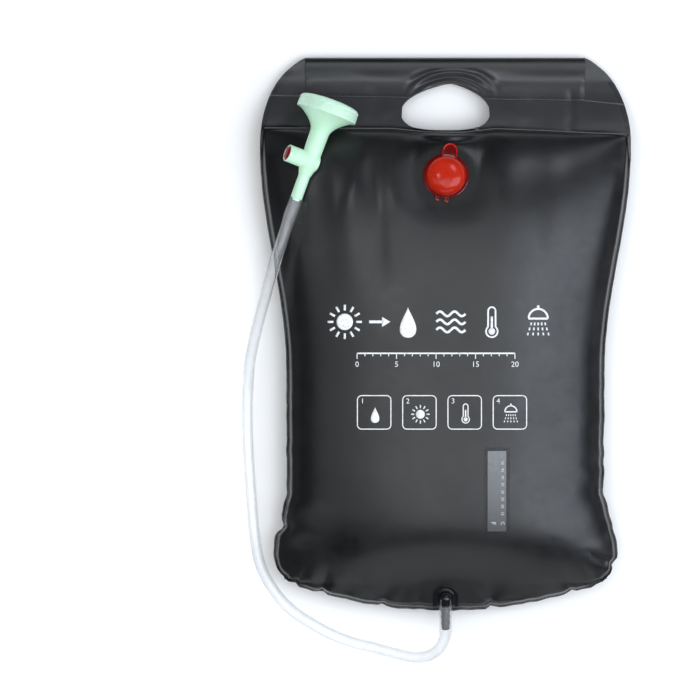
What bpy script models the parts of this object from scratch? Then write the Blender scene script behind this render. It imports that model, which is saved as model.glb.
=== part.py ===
"""Solar shower bag lying on its back: a welded black film bag with a rod and hand hole at the top,
a red filler cap, a temperature strip, an outlet elbow, a clear hose and a shower head with a valve.

X runs across the bag, Y from the outlet to the rod, Z up from the floor that the back lies on.
The origin is on the flat patch of the back. All lengths are in metres.
"""

import bpy
import bmesh
from math import acos, asin, atan2, ceil, cos, pi, radians, sin, tan
from mathutils import Matrix, Vector

# Film and clearances
FILM = 0.0006
GAP = 0.0003
FIT = 0.0003
EDGE_ROUND = 0.0004

# Bag outline, as half widths at heights along Y
SHOULDER_HALF_WIDTH = 0.2005
WAIST_HALF_WIDTH = 0.1720
HIP_HALF_WIDTH = 0.1865
SHOULDER_Y = 0.205
WAIST_TOP_Y = -0.040
WAIST_BOTTOM_Y = -0.160
HIP_Y = -0.238
BOTTOM_Y = -0.299
BOTTOM_RISE = 0.024
HIP_RADIUS = 0.030
HEADER_TOP_Y = 0.2975
HEADER_SIDE_SHARE = 0.80
SHOULDER_ARC_WIDTH = 0.056
WELD_WIDTH = 0.005
SEAL_Y = 0.2146

# How far the filled bag swells from its weld, and over what distance from the weld it rises
WELD_Z = 0.030
SWELL = 0.042
SWELL_REACH = 0.150
SWELL_ROUND = 2.3
SWELL_STEEP = 0.56

# Rod in its sleeve at the top edge
ROD_RADIUS = 0.0045
ROD_LENGTH = 0.296
ROD_Y = 0.2944
ROD_Z = 0.0095
ROD_END_ROUND = 0.0012
ROD_SLACK = 0.0006
SLEEVE_OVERHANG = 0.0035
SLEEVE_TAIL = 0.013

SLEEVE_LENGTH = ROD_LENGTH + 2 * SLEEVE_OVERHANG
SLEEVE_Y = ROD_Y - ROD_RADIUS - SLEEVE_TAIL

# Hand hole under the rod
HOLE_Y = 0.240
HOLE_HALF_WIDTH = 0.048
HOLE_RISE = 0.0315
HOLE_DROP = 0.0204

# Filler neck, strap and cap, in the frame of the flat seat pressed into the front
FILLER_Y = 0.1703
FILLER_TILT = radians(10)
FILLER_TURN = radians(9.5)
SEAT_HALF = 0.030
SEAT_BLEND = 0.026
NECK_BORE_RADIUS = 0.0140
NECK_WALL = 0.0020
NECK_DEPTH = 0.012
FILLER_FLANGE_RADIUS = 0.0262
FILLER_FLANGE_THICKNESS = 0.0012
STRAP_THICKNESS = 0.0012
STRAP_RING_WIDTH = 0.0042
BAND_WIDTH = 0.0042
BAND_SPACING = 0.0100
HINGE_REACH = 0.0265
BRIM_RADIUS = 0.0234
BRIM_THICKNESS = 0.0016
DOME_RADIUS = 0.0200
DOME_HEIGHT = 0.0115
DOME_HOLLOW = 0.0063
DOME_WALL = 0.0042
PLUG_DEPTH = 0.0085
PLUG_CLEARANCE = 0.0004
PLUG_DRAFT = 0.0010
PLUG_WALL = 0.0020
TAB_WIDTH = 0.0154
TAB_REACH = 0.0355
TAB_THICKNESS = 0.0012
TAB_ROOT = 0.0040
BAND_ROOT = 0.0020
BAND_INSET = 0.0001
LEAF_LIFT = 0.0002

# Temperature strip in its clear pocket
STRIP_X = 0.0547
STRIP_Y = -0.1686
STRIP_WIDTH = 0.0200
STRIP_LENGTH = 0.0865
STRIP_THICKNESS = 0.0004
POCKET_BORDER = 0.0040
POCKET_STEP = 0.0012
POCKET_THICKNESS = 0.0004
SHEET_LIFT = 0.0005

# Outlet elbow on its own slanted seat at the bottom weld
OUTLET_Y = -0.2835
OUTLET_TILT = radians(17)
OUTLET_RISE = 0.0052
OUTLET_SEAT_HALF = 0.0165
OUTLET_SEAT_BLEND = 0.020
PLATE_RADIUS = 0.0137
PLATE_FOOT = 0.0110
PLATE_THICKNESS = 0.0015
PORT_RADIUS = 0.0050
PORT_DEPTH = 0.0045
NOZZLE_HEIGHT = 0.0098
ELBOW_RADIUS = 0.0066
ELBOW_BACK = 0.0010
ELBOW_FRONT = 0.0055
NOZZLE_RADIUS = 0.0050
NOZZLE_REACH = 0.0335
NOZZLE_TIP = 0.0050
NOZZLE_BORE_RADIUS = 0.0032
PORT_BORE_RADIUS = 0.0030

# Hose: outer radius, wall, and the radius that its ends are stretched to
HOSE_RADIUS = 0.00625
HOSE_WALL = 0.00125
HOSE_END_STRETCH = 1.12
HOSE_STEP = 0.013
HOSE_SIDES_RESOLUTION = 2
HEAD_BARB_LENGTH = 0.020

# Shower head, along its axis from the rim of the rose (0) to the end of the stem
ROSE_X = -0.1251
ROSE_Y = 0.2479
HEAD_SWING = radians(19.5)
HEAD_ROLL = radians(22)
STEM_END = 0.108
ROSE_RADIUS = 0.0332
ROSE_COLLAR = 0.0120
ROSE_WALL = 0.0018
ROSE_CROWN = 0.0052
ROSE_EDGE = 0.0010
ROSE_HOLE_RADIUS = 0.0009
ROSE_HOLE_RINGS = 3
ROSE_RING_SPACING = 0.0080
FUNNEL_END = 0.034
FUNNEL_FLARE = 1.9
FUNNEL_SHOULDER = 0.0010
FUNNEL_THROAT = 0.0040
HEAD_WALL = 0.0020
NECK_RADIUS = 0.0104
GRIP_RADIUS = 0.0096
GRIP_END = 0.072
TAPER_END = 0.082
STEM_RADIUS = 0.0064
STEM_BORE_RADIUS = 0.0030
BARB_RADIUS = 0.0043
BARB_STEP = 0.0005
BARB_TIP_WALL = 0.0008
VALVE_AT = 0.0655
VALVE_OUTER_RADIUS = 0.0094
VALVE_REACH = 0.0275
VALVE_BACK = 0.0090
VALVE_BORE_RADIUS = 0.0062
VALVE_BORE_DEPTH = 0.0055
BUTTON_RADIUS = 0.0078
BUTTON_THICKNESS = 0.0030
BUTTON_RECESS = 0.0008
BUTTON_RIM = 0.0010
BUTTON_RIDGE = 0.0030
BUTTON_RIDGE_WIDTH = 0.0022
BUTTON_RIDGE_INSET = 0.0020
SEAL_SECTION = 0.0009
SEAL_INNER_AT = 0.0055
SEAL_OUTER_AT = 0.0120
GROOVE_SPARE = 0.0003
GRIP_SLOT_WIDTH = 0.0036
GRIP_SLOT_DEPTH = 0.0012
GRIP_SLOT_START = 0.036
GRIP_SLOT_END = 0.054
STEM_SLOT_WIDTH = 0.0022
STEM_SLOT_START = 0.084
STEM_SLOT_END = 0.100
ROSE_LIFT = 0.0014
HOUSING_LIFT = -0.0006

# Route of the hose, from over the nozzle to over the barb of the head
HOSE_ROUTE = [
    (-0.0010, -0.3280, 0.0324),
    (-0.0075, -0.3400, 0.0283),
    (-0.0185, -0.3475, 0.0236),
    (-0.0330, -0.3495, 0.0187),
    (-0.0520, -0.3460, 0.0138),
    (-0.0760, -0.3400, 0.0095),
    (-0.1020, -0.3335, 0.0070),
    (-0.1310, -0.3215, 0.0064),
    (-0.1660, -0.2995, 0.0064),
    (-0.1880, -0.2745, 0.0064),
    (-0.2010, -0.2480, 0.0064),
    (-0.2070, -0.2140, 0.0064),
    (-0.2110, -0.1660, 0.0064),
    (-0.2140, -0.1150, 0.0066),
    (-0.2145, -0.0720, 0.0092),
    (-0.2112, -0.0276, 0.0185),
    (-0.2025, 0.0114, 0.0320),
    (-0.1945, 0.0405, 0.0445),
    (-0.1882, 0.0625, 0.0540),
    (-0.1806, 0.0885, 0.0630),
]

PARTS = bpy.data.collections.new("solar_shower_bag")
TOOLS = bpy.data.collections.new("solar_shower_bag_cutters")


# Scene, collections and small helpers

def clear_scene():
    for obj in list(bpy.data.objects):
        bpy.data.objects.remove(obj, do_unlink=True)
    bpy.context.scene.collection.children.link(PARTS)
    bpy.context.scene.collection.children.link(TOOLS)


def surface(name, colour, roughness, transmission=0.0):
    """A plain Principled finish for one part."""
    material = bpy.data.materials.new(name)
    material.use_nodes = True
    shader = material.node_tree.nodes["Principled BSDF"]
    shader.inputs["Base Color"].default_value = (*colour, 1.0)
    shader.inputs["Roughness"].default_value = roughness
    shader.inputs["Metallic"].default_value = 0.0
    shader.inputs["Transmission Weight"].default_value = transmission
    return material


def add_part(name, mesh, material, parent=None):
    obj = bpy.data.objects.new(name, mesh)
    obj.parent = parent
    mesh.materials.append(material)
    PARTS.objects.link(obj)
    return obj


def add_tool(name, mesh, parent=None):
    """A shape that is only cut out of, or joined to, a part."""
    obj = bpy.data.objects.new(name, mesh)
    obj.parent = parent
    obj.hide_render = True
    obj.display_type = "WIRE"
    TOOLS.objects.link(obj)
    return obj


def add_seat(name, matrix):
    """An empty that carries the parts of one fitting."""
    empty = bpy.data.objects.new(name, None)
    empty.matrix_world = matrix
    PARTS.objects.link(empty)
    return empty


def boolean(obj, tool, operation):
    modifier = obj.modifiers.new(f"{operation.lower()}_{tool.name}", "BOOLEAN")
    modifier.object = tool
    modifier.operation = operation
    modifier.solver = "EXACT"


def cut(obj, tool):
    boolean(obj, tool, "DIFFERENCE")


def join(obj, tool):
    boolean(obj, tool, "UNION")


def smooth(mesh, angle=radians(35)):
    mesh.shade_smooth()
    mesh.set_sharp_from_angle(angle=angle)


def ease(t):
    """0 to 1 with level ends."""
    t = min(max(t, 0.0), 1.0)
    return t * t * (3 - 2 * t)


def arc(centre, radii, start, end, count):
    """Points on an elliptical arc, both ends included."""
    points = []
    for i in range(count + 1):
        angle = start + (end - start) * i / count
        points.append((centre[0] + radii[0] * cos(angle), centre[1] + radii[1] * sin(angle)))
    return points


def profile_mesh(name, profile, closed):
    """The line to be turned about Z, from (radius, z) points that run down the outer side."""
    mesh = bpy.data.meshes.new(name)
    edges = [(i, i + 1) for i in range(len(profile) - 1)]
    if closed:
        edges.append((len(profile) - 1, 0))
    mesh.from_pydata([(r, 0.0, z) for r, z in profile], edges, [])
    return mesh


def spin(obj, steps):
    modifier = obj.modifiers.new("turn", "SCREW")
    modifier.axis = "Z"
    modifier.angle = 2 * pi
    modifier.steps = steps
    modifier.render_steps = steps
    modifier.use_merge_vertices = True
    modifier.merge_threshold = 0.00001
    modifier.use_smooth_shade = True
    return obj


def turned_part(name, profile, steps, material, parent=None, closed=False):
    return spin(add_part(name, profile_mesh(name, profile, closed), material, parent), steps)


def turned_tool(name, profile, steps, parent=None, closed=False):
    return spin(add_tool(name, profile_mesh(name, profile, closed), parent), steps)


def prism(name, outline, low, high):
    """A closed outline in XY, raised from low to high."""
    mesh = bpy.data.meshes.new(name)
    bm = bmesh.new()
    face = bm.faces.new([bm.verts.new((x, y, low)) for x, y in outline])
    raised = bmesh.ops.extrude_face_region(bm, geom=[face])
    tops = [item for item in raised["geom"] if isinstance(item, bmesh.types.BMVert)]
    bmesh.ops.translate(bm, verts=tops, vec=(0, 0, high - low))
    bmesh.ops.recalc_face_normals(bm, faces=bm.faces)
    bm.to_mesh(mesh)
    bm.free()
    return mesh


def cylinder(name, radius, low, high, segments):
    """A plain closed cylinder along Z."""
    mesh = bpy.data.meshes.new(name)
    bm = bmesh.new()
    bmesh.ops.create_cone(
        bm, cap_ends=True, segments=segments, radius1=radius, radius2=radius, depth=high - low,
        matrix=Matrix.Translation((0, 0, (low + high) / 2)))
    bm.to_mesh(mesh)
    bm.free()
    return mesh


def solidify(obj, thickness, offset):
    modifier = obj.modifiers.new("film", "SOLIDIFY")
    modifier.thickness = thickness
    modifier.offset = offset
    modifier.use_even_offset = True
    return modifier


# Outline of the bag

def half_width(y):
    """Half width of the film at a height along the bag."""
    if y > SHOULDER_Y:
        rise = (y - SHOULDER_Y) / (HEADER_TOP_Y - SHOULDER_Y)
        return SHOULDER_HALF_WIDTH - SHOULDER_ARC_WIDTH * (1 - max(1 - rise * rise, 0.0) ** 0.5)
    if y > WAIST_TOP_Y:
        share = (y - WAIST_TOP_Y) / (SHOULDER_Y - WAIST_TOP_Y)
        return WAIST_HALF_WIDTH + (SHOULDER_HALF_WIDTH - WAIST_HALF_WIDTH) * (1 - cos(pi * share)) / 2
    if y > WAIST_BOTTOM_Y:
        return WAIST_HALF_WIDTH
    if y > HIP_Y:
        share = (WAIST_BOTTOM_Y - y) / (WAIST_BOTTOM_Y - HIP_Y)
        return WAIST_HALF_WIDTH + (HIP_HALF_WIDTH - WAIST_HALF_WIDTH) * (1 - cos(pi * share)) / 2
    drop = min((HIP_Y - y) / HIP_RADIUS, 1.0)
    return HIP_HALF_WIDTH - HIP_RADIUS * (1 - (1 - drop * drop) ** 0.5)


SHOULDER_AT_SEAL = half_width(SEAL_Y)


def bottom_y(x):
    """The bottom edge hangs lowest at the outlet."""
    span = HIP_HALF_WIDTH - HIP_RADIUS
    return BOTTOM_Y + BOTTOM_RISE * (x / span) ** 2


def corner_end():
    """Where the hip arc meets the bottom edge."""
    return HIP_HALF_WIDTH - HIP_RADIUS, BOTTOM_Y + BOTTOM_RISE


def hip_corner(share):
    """A point of the right hip arc, 0 at the side and 1 at the bottom edge."""
    x_end, y_end = corner_end()
    angle = share * pi / 2
    return x_end + HIP_RADIUS * cos(angle), HIP_Y - (HIP_Y - y_end) * sin(angle)


# The two faces of the filled bag

def swell(share):
    """Height of the film from its weld (0) to the middle (1), steep at first and then level."""
    share = min(max(share, 0.0), 1.0)
    return (1 - (1 - share) ** SWELL_ROUND) ** SWELL_STEEP


def fullness(x, y):
    """0 on the welds and the header, 1 in the middle of the bag."""
    side = half_width(y) - WELD_WIDTH - abs(x)
    ends = min(y - bottom_y(x) - WELD_WIDTH, SEAL_Y - y)
    return swell(side / SWELL_REACH) * swell(ends / SWELL_REACH)


def weld_plane(y):
    """Height between the two films: level along the bag, sinking over the header to the sleeve."""
    share = (y - SEAL_Y) / (SLEEVE_Y - SEAL_Y)
    return WELD_Z - (WELD_Z - ROD_Z) * ease(share)


def seat_share(x, y, centre_y, half, blend):
    """1 on the square seat of a fitting, easing to 0 round it."""
    away = max(abs(x), abs(y - centre_y)) - half
    return 1 - ease(away / blend)


def free_front(x, y):
    return weld_plane(y) + GAP / 2 + FILM + SWELL * fullness(x, y)


def filler_height():
    return free_front(0.0, FILLER_Y)


def outlet_height():
    return WELD_Z + GAP / 2 + FILM + OUTLET_RISE


def front_height(x, y):
    """Outer face of the front film, pressed flat under the filler and the outlet."""
    height = free_front(x, y)
    share = seat_share(x, y, FILLER_Y, SEAT_HALF, SEAT_BLEND)
    seat = filler_height() - tan(FILLER_TILT) * (y - FILLER_Y)
    height += (seat - height) * share
    share = seat_share(x, y, OUTLET_Y, OUTLET_SEAT_HALF, OUTLET_SEAT_BLEND)
    share *= ease((y - bottom_y(x)) / WELD_WIDTH - 0.4)
    seat = outlet_height() + tan(OUTLET_TILT) * (y - OUTLET_Y)
    return height + (seat - height) * share


def back_height(x, y):
    """Outer face of the back film, flat where the floor stops it."""
    return max(weld_plane(y) - GAP / 2 - FILM - SWELL * fullness(x, y), 0.0)


# Film panels, laid out as two patches that share the seal line

def stations(marks, longest):
    """Places from the first mark to the last, through every mark, no step over the longest."""
    places = [marks[0]]
    for start, end in zip(marks, marks[1:]):
        count = max(1, ceil((end - start) / longest - 0.001))
        places += [start + (end - start) * i / count for i in range(1, count + 1)]
    return places


def blend_edges(bottom, top, left, right, u, v):
    """A point inside four edge curves, each given as a function of 0 to 1."""
    corners = (
        (1 - u) * (1 - v) * bottom(0) + u * (1 - v) * bottom(1)
        + (1 - u) * v * top(0) + u * v * top(1))
    return (1 - v) * bottom(u) + v * top(u) + (1 - u) * left(v) + u * right(v) - corners


def chamber_point(u, v):
    """Point of the water chamber: u across, v from the bottom edge to the seal."""
    half_corner = Vector(hip_corner(0.5))

    def bottom(t):
        x = -half_corner.x + 2 * half_corner.x * t
        span = corner_end()[0]
        if abs(x) <= span:
            return Vector((x, bottom_y(x)))
        angle = acos(min((abs(x) - span) / HIP_RADIUS, 1.0))
        edge = hip_corner(angle / (pi / 2))
        return Vector((edge[0] if x > 0 else -edge[0], edge[1]))

    def top(t):
        return Vector((SHOULDER_AT_SEAL * (2 * t - 1), SEAL_Y))

    def right(t):
        y = half_corner.y + (SEAL_Y - half_corner.y) * t
        return Vector((half_width(y), y))

    def left(t):
        edge = right(t)
        return Vector((-edge.x, edge.y))

    return blend_edges(bottom, top, left, right, u, v)


def header_point(u, v):
    """Point of the header: u across, v from the seal to the top edge."""
    side_end = SHOULDER_Y + (HEADER_TOP_Y - SHOULDER_Y) * HEADER_SIDE_SHARE

    def bottom(t):
        return Vector((SHOULDER_AT_SEAL * (2 * t - 1), SEAL_Y))

    def side_y(t):
        return SEAL_Y + (side_end - SEAL_Y) * t

    def top(t):
        x = half_width(side_end) * (2 * t - 1)
        flat = SHOULDER_HALF_WIDTH - SHOULDER_ARC_WIDTH
        if abs(x) <= flat:
            return Vector((x, HEADER_TOP_Y))
        over = min((abs(x) - flat) / SHOULDER_ARC_WIDTH, 1.0)
        return Vector((x, SHOULDER_Y + (HEADER_TOP_Y - SHOULDER_Y) * (1 - over * over) ** 0.5))

    def right(t):
        return Vector((half_width(side_y(t)), side_y(t)))

    def left(t):
        edge = right(t)
        return Vector((-edge.x, edge.y))

    return blend_edges(bottom, top, left, right, u, v)


def film_mesh(name, height, outward, across, along, over_header):
    """One film as an open sheet, its outer face at height(x, y), facing outward (+1 or -1)."""
    rows = [[chamber_point(u, v) for u in across] for v in along]
    rows += [[header_point(u, v) for u in across] for v in over_header[1:]]
    bm = bmesh.new()
    columns = len(across)
    bmesh.ops.create_grid(bm, x_segments=columns - 1, y_segments=len(rows) - 1, size=1.0)
    bm.verts.ensure_lookup_table()
    for j, row in enumerate(rows):
        for i, point in enumerate(row):
            bm.verts[j * columns + i].co = (point.x, point.y, height(point.x, point.y))
    if outward < 0:
        bmesh.ops.reverse_faces(bm, faces=bm.faces)
    mesh = bpy.data.meshes.new(name)
    bm.to_mesh(mesh)
    bm.free()
    smooth(mesh, radians(50))
    return mesh


def across_stations(longest, marks):
    """Shares across the bag: welds, the given marks near the middle, and even steps between."""
    half = WAIST_HALF_WIDTH
    edge_marks = [half, half - WELD_WIDTH, half - 3 * WELD_WIDTH, half - 7 * WELD_WIDTH]
    one_side = sorted(set(marks) | set(edge_marks))
    right = stations([0.0] + one_side, longest)
    both = [-x for x in reversed(right[1:])] + right
    return [0.5 + x / (2 * half) for x in both]


def along_stations(longest, marks):
    """Shares from the bottom edge to the seal, measured down the middle of the bag."""
    length = SEAL_Y - BOTTOM_Y
    ends = [0.0, WELD_WIDTH, 3 * WELD_WIDTH, 8 * WELD_WIDTH,
            length - 7 * WELD_WIDTH, length - 2 * WELD_WIDTH, length]
    return [y / length for y in stations(sorted(set(ends) | set(marks)), longest)]


def hand_hole_outline():
    """A low oval with a pointed top, where the film pulls up towards the rod."""
    count = 10
    points = []
    for i in range(count * 2 + 1):
        x = HOLE_HALF_WIDTH * cos(pi * i / (count * 2))
        share = abs(x) / HOLE_HALF_WIDTH
        points.append((x, HOLE_RISE * max(1 - share ** 1.35, 0.0) ** 0.75))
    for i in range(1, count * 2):
        x = -HOLE_HALF_WIDTH * cos(pi * i / (count * 2))
        share = abs(x) / HOLE_HALF_WIDTH
        points.append((x, -HOLE_DROP * max(1 - share ** 2.4, 0.0) ** 0.42))
    return points


def add_hand_hole_cutter():
    mesh = prism("hand_hole_cutter", hand_hole_outline(), -WELD_Z, 2 * WELD_Z)
    cutter = add_tool("hand_hole_cutter", mesh)
    cutter.location = (0, HOLE_Y, 0)
    return cutter


def add_sleeve_notch_cutter():
    """The film stops short of the rod for the length of the sleeve."""
    half = SLEEVE_LENGTH / 2 + 2 * GAP
    edge = ROD_Y - ROD_RADIUS - ROD_SLACK - GAP
    past = HEADER_TOP_Y + ROD_RADIUS
    outline = [(-half, edge), (half, edge), (half, past), (-half, past)]
    return add_tool("sleeve_notch_cutter", prism("sleeve_notch_cutter", outline, -WELD_Z, 2 * WELD_Z))


def add_film_panels(film):
    """Front and back film, welded round a chamber and pressed together over the header."""
    hole = add_hand_hole_cutter()
    notch = add_sleeve_notch_cutter()
    flat_row = (SLEEVE_Y - SEAL_Y) / (HEADER_TOP_Y - SEAL_Y)
    header_rows = stations([0.0, flat_row, 1.0], 0.16)
    across = across_stations(0.027, [SEAT_HALF / 2, SEAT_HALF])
    length_marks = [FILLER_Y - SEAT_HALF - BOTTOM_Y, FILLER_Y - BOTTOM_Y,
                    FILLER_Y + SEAT_HALF - BOTTOM_Y, OUTLET_Y + OUTLET_SEAT_HALF - BOTTOM_Y]
    along = along_stations(0.027, length_marks)
    mesh = film_mesh("front_sheet", front_height, 1, across, along, header_rows)
    front = add_part("front_sheet", mesh, film)
    solidify(front, FILM, -1)

    across = across_stations(0.045, [])
    along = along_stations(0.050, [])
    mesh = film_mesh("back_sheet", back_height, -1, across, along, header_rows)
    back = add_part("back_sheet", mesh, film)
    solidify(back, FILM, -1)
    for panel in (front, back):
        cut(panel, hole)
        cut(panel, notch)
    return front


# Rod and sleeve

def add_rod_sleeve(film):
    """A strip of film folded round the rod, its two tails welded over the edge of the header."""
    inner = ROD_RADIUS + ROD_SLACK
    tail_height = FILM + GAP * 1.5
    open_angle = asin(tail_height / inner)
    loop = arc((ROD_Y, ROD_Z), (inner, inner), open_angle - pi, pi - open_angle, 16)
    section = [(SLEEVE_Y + GAP, ROD_Z - tail_height)] + loop
    section.append((SLEEVE_Y + GAP, ROD_Z + tail_height))
    bm = bmesh.new()
    half = SLEEVE_LENGTH / 2
    verts = [bm.verts.new((-half, y, z)) for y, z in section]
    edges = [bm.edges.new((a, b)) for a, b in zip(verts, verts[1:])]
    swept = bmesh.ops.extrude_edge_only(bm, edges=edges)
    ends = [item for item in swept["geom"] if isinstance(item, bmesh.types.BMVert)]
    bmesh.ops.translate(bm, verts=ends, vec=(SLEEVE_LENGTH, 0, 0))
    mesh = bpy.data.meshes.new("rod_sleeve")
    bm.to_mesh(mesh)
    bm.free()
    smooth(mesh)
    sleeve = add_part("rod_sleeve", mesh, film)
    solidify(sleeve, FILM, -1)
    return sleeve


def add_handle_rod(plastic):
    mesh = cylinder("handle_rod", ROD_RADIUS, -ROD_LENGTH / 2, ROD_LENGTH / 2, 16)
    smooth(mesh)
    rod = add_part("handle_rod", mesh, plastic)
    rod.location = (0, ROD_Y, ROD_Z)
    rod.rotation_euler = (0, pi / 2, 0)
    bevel = rod.modifiers.new("rounded_ends", "BEVEL")
    bevel.width = ROD_END_ROUND
    bevel.segments = 2
    bevel.limit_method = "ANGLE"
    return rod


# Filler

def add_filler_seat():
    lean = Matrix.Rotation(-FILLER_TILT, 4, "X")
    turn = Matrix.Rotation(-FILLER_TURN, 4, "Z")
    place = Matrix.Translation((0, FILLER_Y, filler_height()))
    return add_seat("filler_seat", place @ lean @ turn)


def add_filler_flange(front, plastic, seat):
    """Weld flange under the film, with a neck that stands up through it."""
    outer = NECK_BORE_RADIUS + NECK_WALL
    flange_top = -FILM - GAP
    neck_top = GAP + STRAP_THICKNESS
    flange_bottom = flange_top - FILLER_FLANGE_THICKNESS
    profile = [
        (outer - EDGE_ROUND, neck_top), (outer, neck_top - EDGE_ROUND), (outer, flange_top),
        (FILLER_FLANGE_RADIUS, flange_top), (FILLER_FLANGE_RADIUS, flange_bottom),
        (outer, flange_bottom), (outer, -NECK_DEPTH), (NECK_BORE_RADIUS, -NECK_DEPTH),
        (NECK_BORE_RADIUS, neck_top - EDGE_ROUND), (NECK_BORE_RADIUS + EDGE_ROUND, neck_top)]
    flange = turned_part("filler_flange", profile, 40, plastic, seat, closed=True)
    hole = cylinder("filler_hole", outer + GAP, -NECK_DEPTH, NECK_DEPTH, 40)
    cut(front, add_tool("filler_hole_cutter", hole, seat))
    return flange


def add_bands(obj, name, low, high, inner, seat):
    """Two flat bands that run from a ring out to the fold line of the strap."""
    for i, x in enumerate((-BAND_SPACING / 2, BAND_SPACING / 2)):
        outline = [(x - BAND_WIDTH / 2, -HINGE_REACH), (x + BAND_WIDTH / 2, -HINGE_REACH),
                   (x + BAND_WIDTH / 2, -inner), (x - BAND_WIDTH / 2, -inner)]
        join(obj, add_tool(f"{name}_{i}", prism(f"{name}_{i}", outline, low, high), seat))


def add_cap_strap(plastic, seat):
    """Ring held round the neck, with the lower leaf of the strap's fold."""
    inner = NECK_BORE_RADIUS + NECK_WALL + FIT
    outer = inner + STRAP_RING_WIDTH
    top = GAP + STRAP_THICKNESS
    profile = [(outer, top), (outer, GAP), (inner, GAP), (inner, top)]
    strap = turned_part("cap_strap", profile, 40, plastic, seat, closed=True)
    add_bands(strap, "lower_band", GAP + BAND_INSET, top - BAND_INSET, outer - BAND_ROOT, seat)
    return strap


def dome_profile(radius, height, base, count):
    """From the crown of a shallow dome out to its base circle."""
    ball = (radius ** 2 + height ** 2) / (2 * height)
    edge = asin(radius / ball)
    centre = base + height - ball
    points = []
    for i in range(count + 1):
        angle = edge * i / count
        points.append((ball * sin(angle), centre + ball * cos(angle)))
    return points


def add_filler_cap(plastic, seat):
    """Domed cap with a brim, a tapered plug, a pull tab and the upper leaf of the strap."""
    underside = 2 * GAP + STRAP_THICKNESS
    brim_top = underside + BRIM_THICKNESS
    plug_top = NECK_BORE_RADIUS - PLUG_CLEARANCE
    plug_end = plug_top - PLUG_DRAFT
    plug_low = underside - PLUG_DEPTH
    inside_top = brim_top + DOME_HEIGHT - DOME_WALL
    inside = dome_profile(plug_end - PLUG_WALL, DOME_HOLLOW, inside_top - DOME_HOLLOW, 3)
    profile = dome_profile(DOME_RADIUS, DOME_HEIGHT, brim_top, 7)
    profile += [
        (BRIM_RADIUS - EDGE_ROUND, brim_top - BAND_INSET), (BRIM_RADIUS, brim_top - EDGE_ROUND),
        (BRIM_RADIUS, underside), (plug_top, underside), (plug_end, plug_low),
        (plug_end - PLUG_WALL, plug_low)]
    profile += list(reversed(inside))
    cap = turned_part("filler_cap", profile, 36, plastic, seat)
    low = underside + LEAF_LIFT
    root = BRIM_RADIUS - TAB_ROOT
    tab = [(TAB_WIDTH / 2, root)]
    tab += arc((0, TAB_REACH - TAB_WIDTH / 2), (TAB_WIDTH / 2, TAB_WIDTH / 2), 0, pi, 12)
    tab.append((-TAB_WIDTH / 2, root))
    join(cap, add_tool("pull_tab", prism("pull_tab", tab, low, low + TAB_THICKNESS), seat))
    add_bands(cap, "upper_band", low, low + TAB_THICKNESS, BRIM_RADIUS - BAND_ROOT, seat)
    return cap


# Temperature strip

def laid_on_front(name, marks_x, marks_y, lift, thickness, material):
    """A thin panel that follows the front film, its underside at lift(x, y) above it."""
    bm = bmesh.new()
    xs = stations(marks_x, 0.012)
    ys = stations(marks_y, 0.015)
    bmesh.ops.create_grid(bm, x_segments=len(xs) - 1, y_segments=len(ys) - 1, size=1.0)
    bm.verts.ensure_lookup_table()
    for j, y in enumerate(ys):
        for i, x in enumerate(xs):
            place = (STRIP_X + x, STRIP_Y + y)
            bm.verts[j * len(xs) + i].co = (*place, front_height(*place) + lift(x, y))
    mesh = bpy.data.meshes.new(name)
    bm.to_mesh(mesh)
    bm.free()
    smooth(mesh)
    panel = add_part(name, mesh, material)
    solidify(panel, thickness, 1)
    return panel


def add_thermometer(strip_finish, window_finish):
    half_x = STRIP_WIDTH / 2
    half_y = STRIP_LENGTH / 2
    laid_on_front("thermometer_strip", [-half_x, half_x], [-half_y, half_y],
                  lambda x, y: SHEET_LIFT, STRIP_THICKNESS, strip_finish)
    over = STRIP_THICKNESS + GAP
    rise_x = half_x + POCKET_STEP
    rise_y = half_y + POCKET_STEP

    def pocket_lift(x, y):
        covered = abs(x) < rise_x + POCKET_STEP / 2 and abs(y) < rise_y + POCKET_STEP / 2
        return SHEET_LIFT + (over if covered else 0.0)

    edge_x = half_x + POCKET_BORDER
    edge_y = half_y + POCKET_BORDER
    laid_on_front("thermometer_window", [-edge_x, -rise_x, rise_x, edge_x],
                  [-edge_y, -rise_y, rise_y, edge_y], pocket_lift, POCKET_THICKNESS, window_finish)


# Outlet

def along_nozzle(obj):
    """Turn a shape made along Z to lie along the nozzle, which leaves towards the bottom edge."""
    obj.location = (0, 0, NOZZLE_HEIGHT)
    obj.rotation_euler = (-pi / 2, 0, 0)
    return obj


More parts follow.
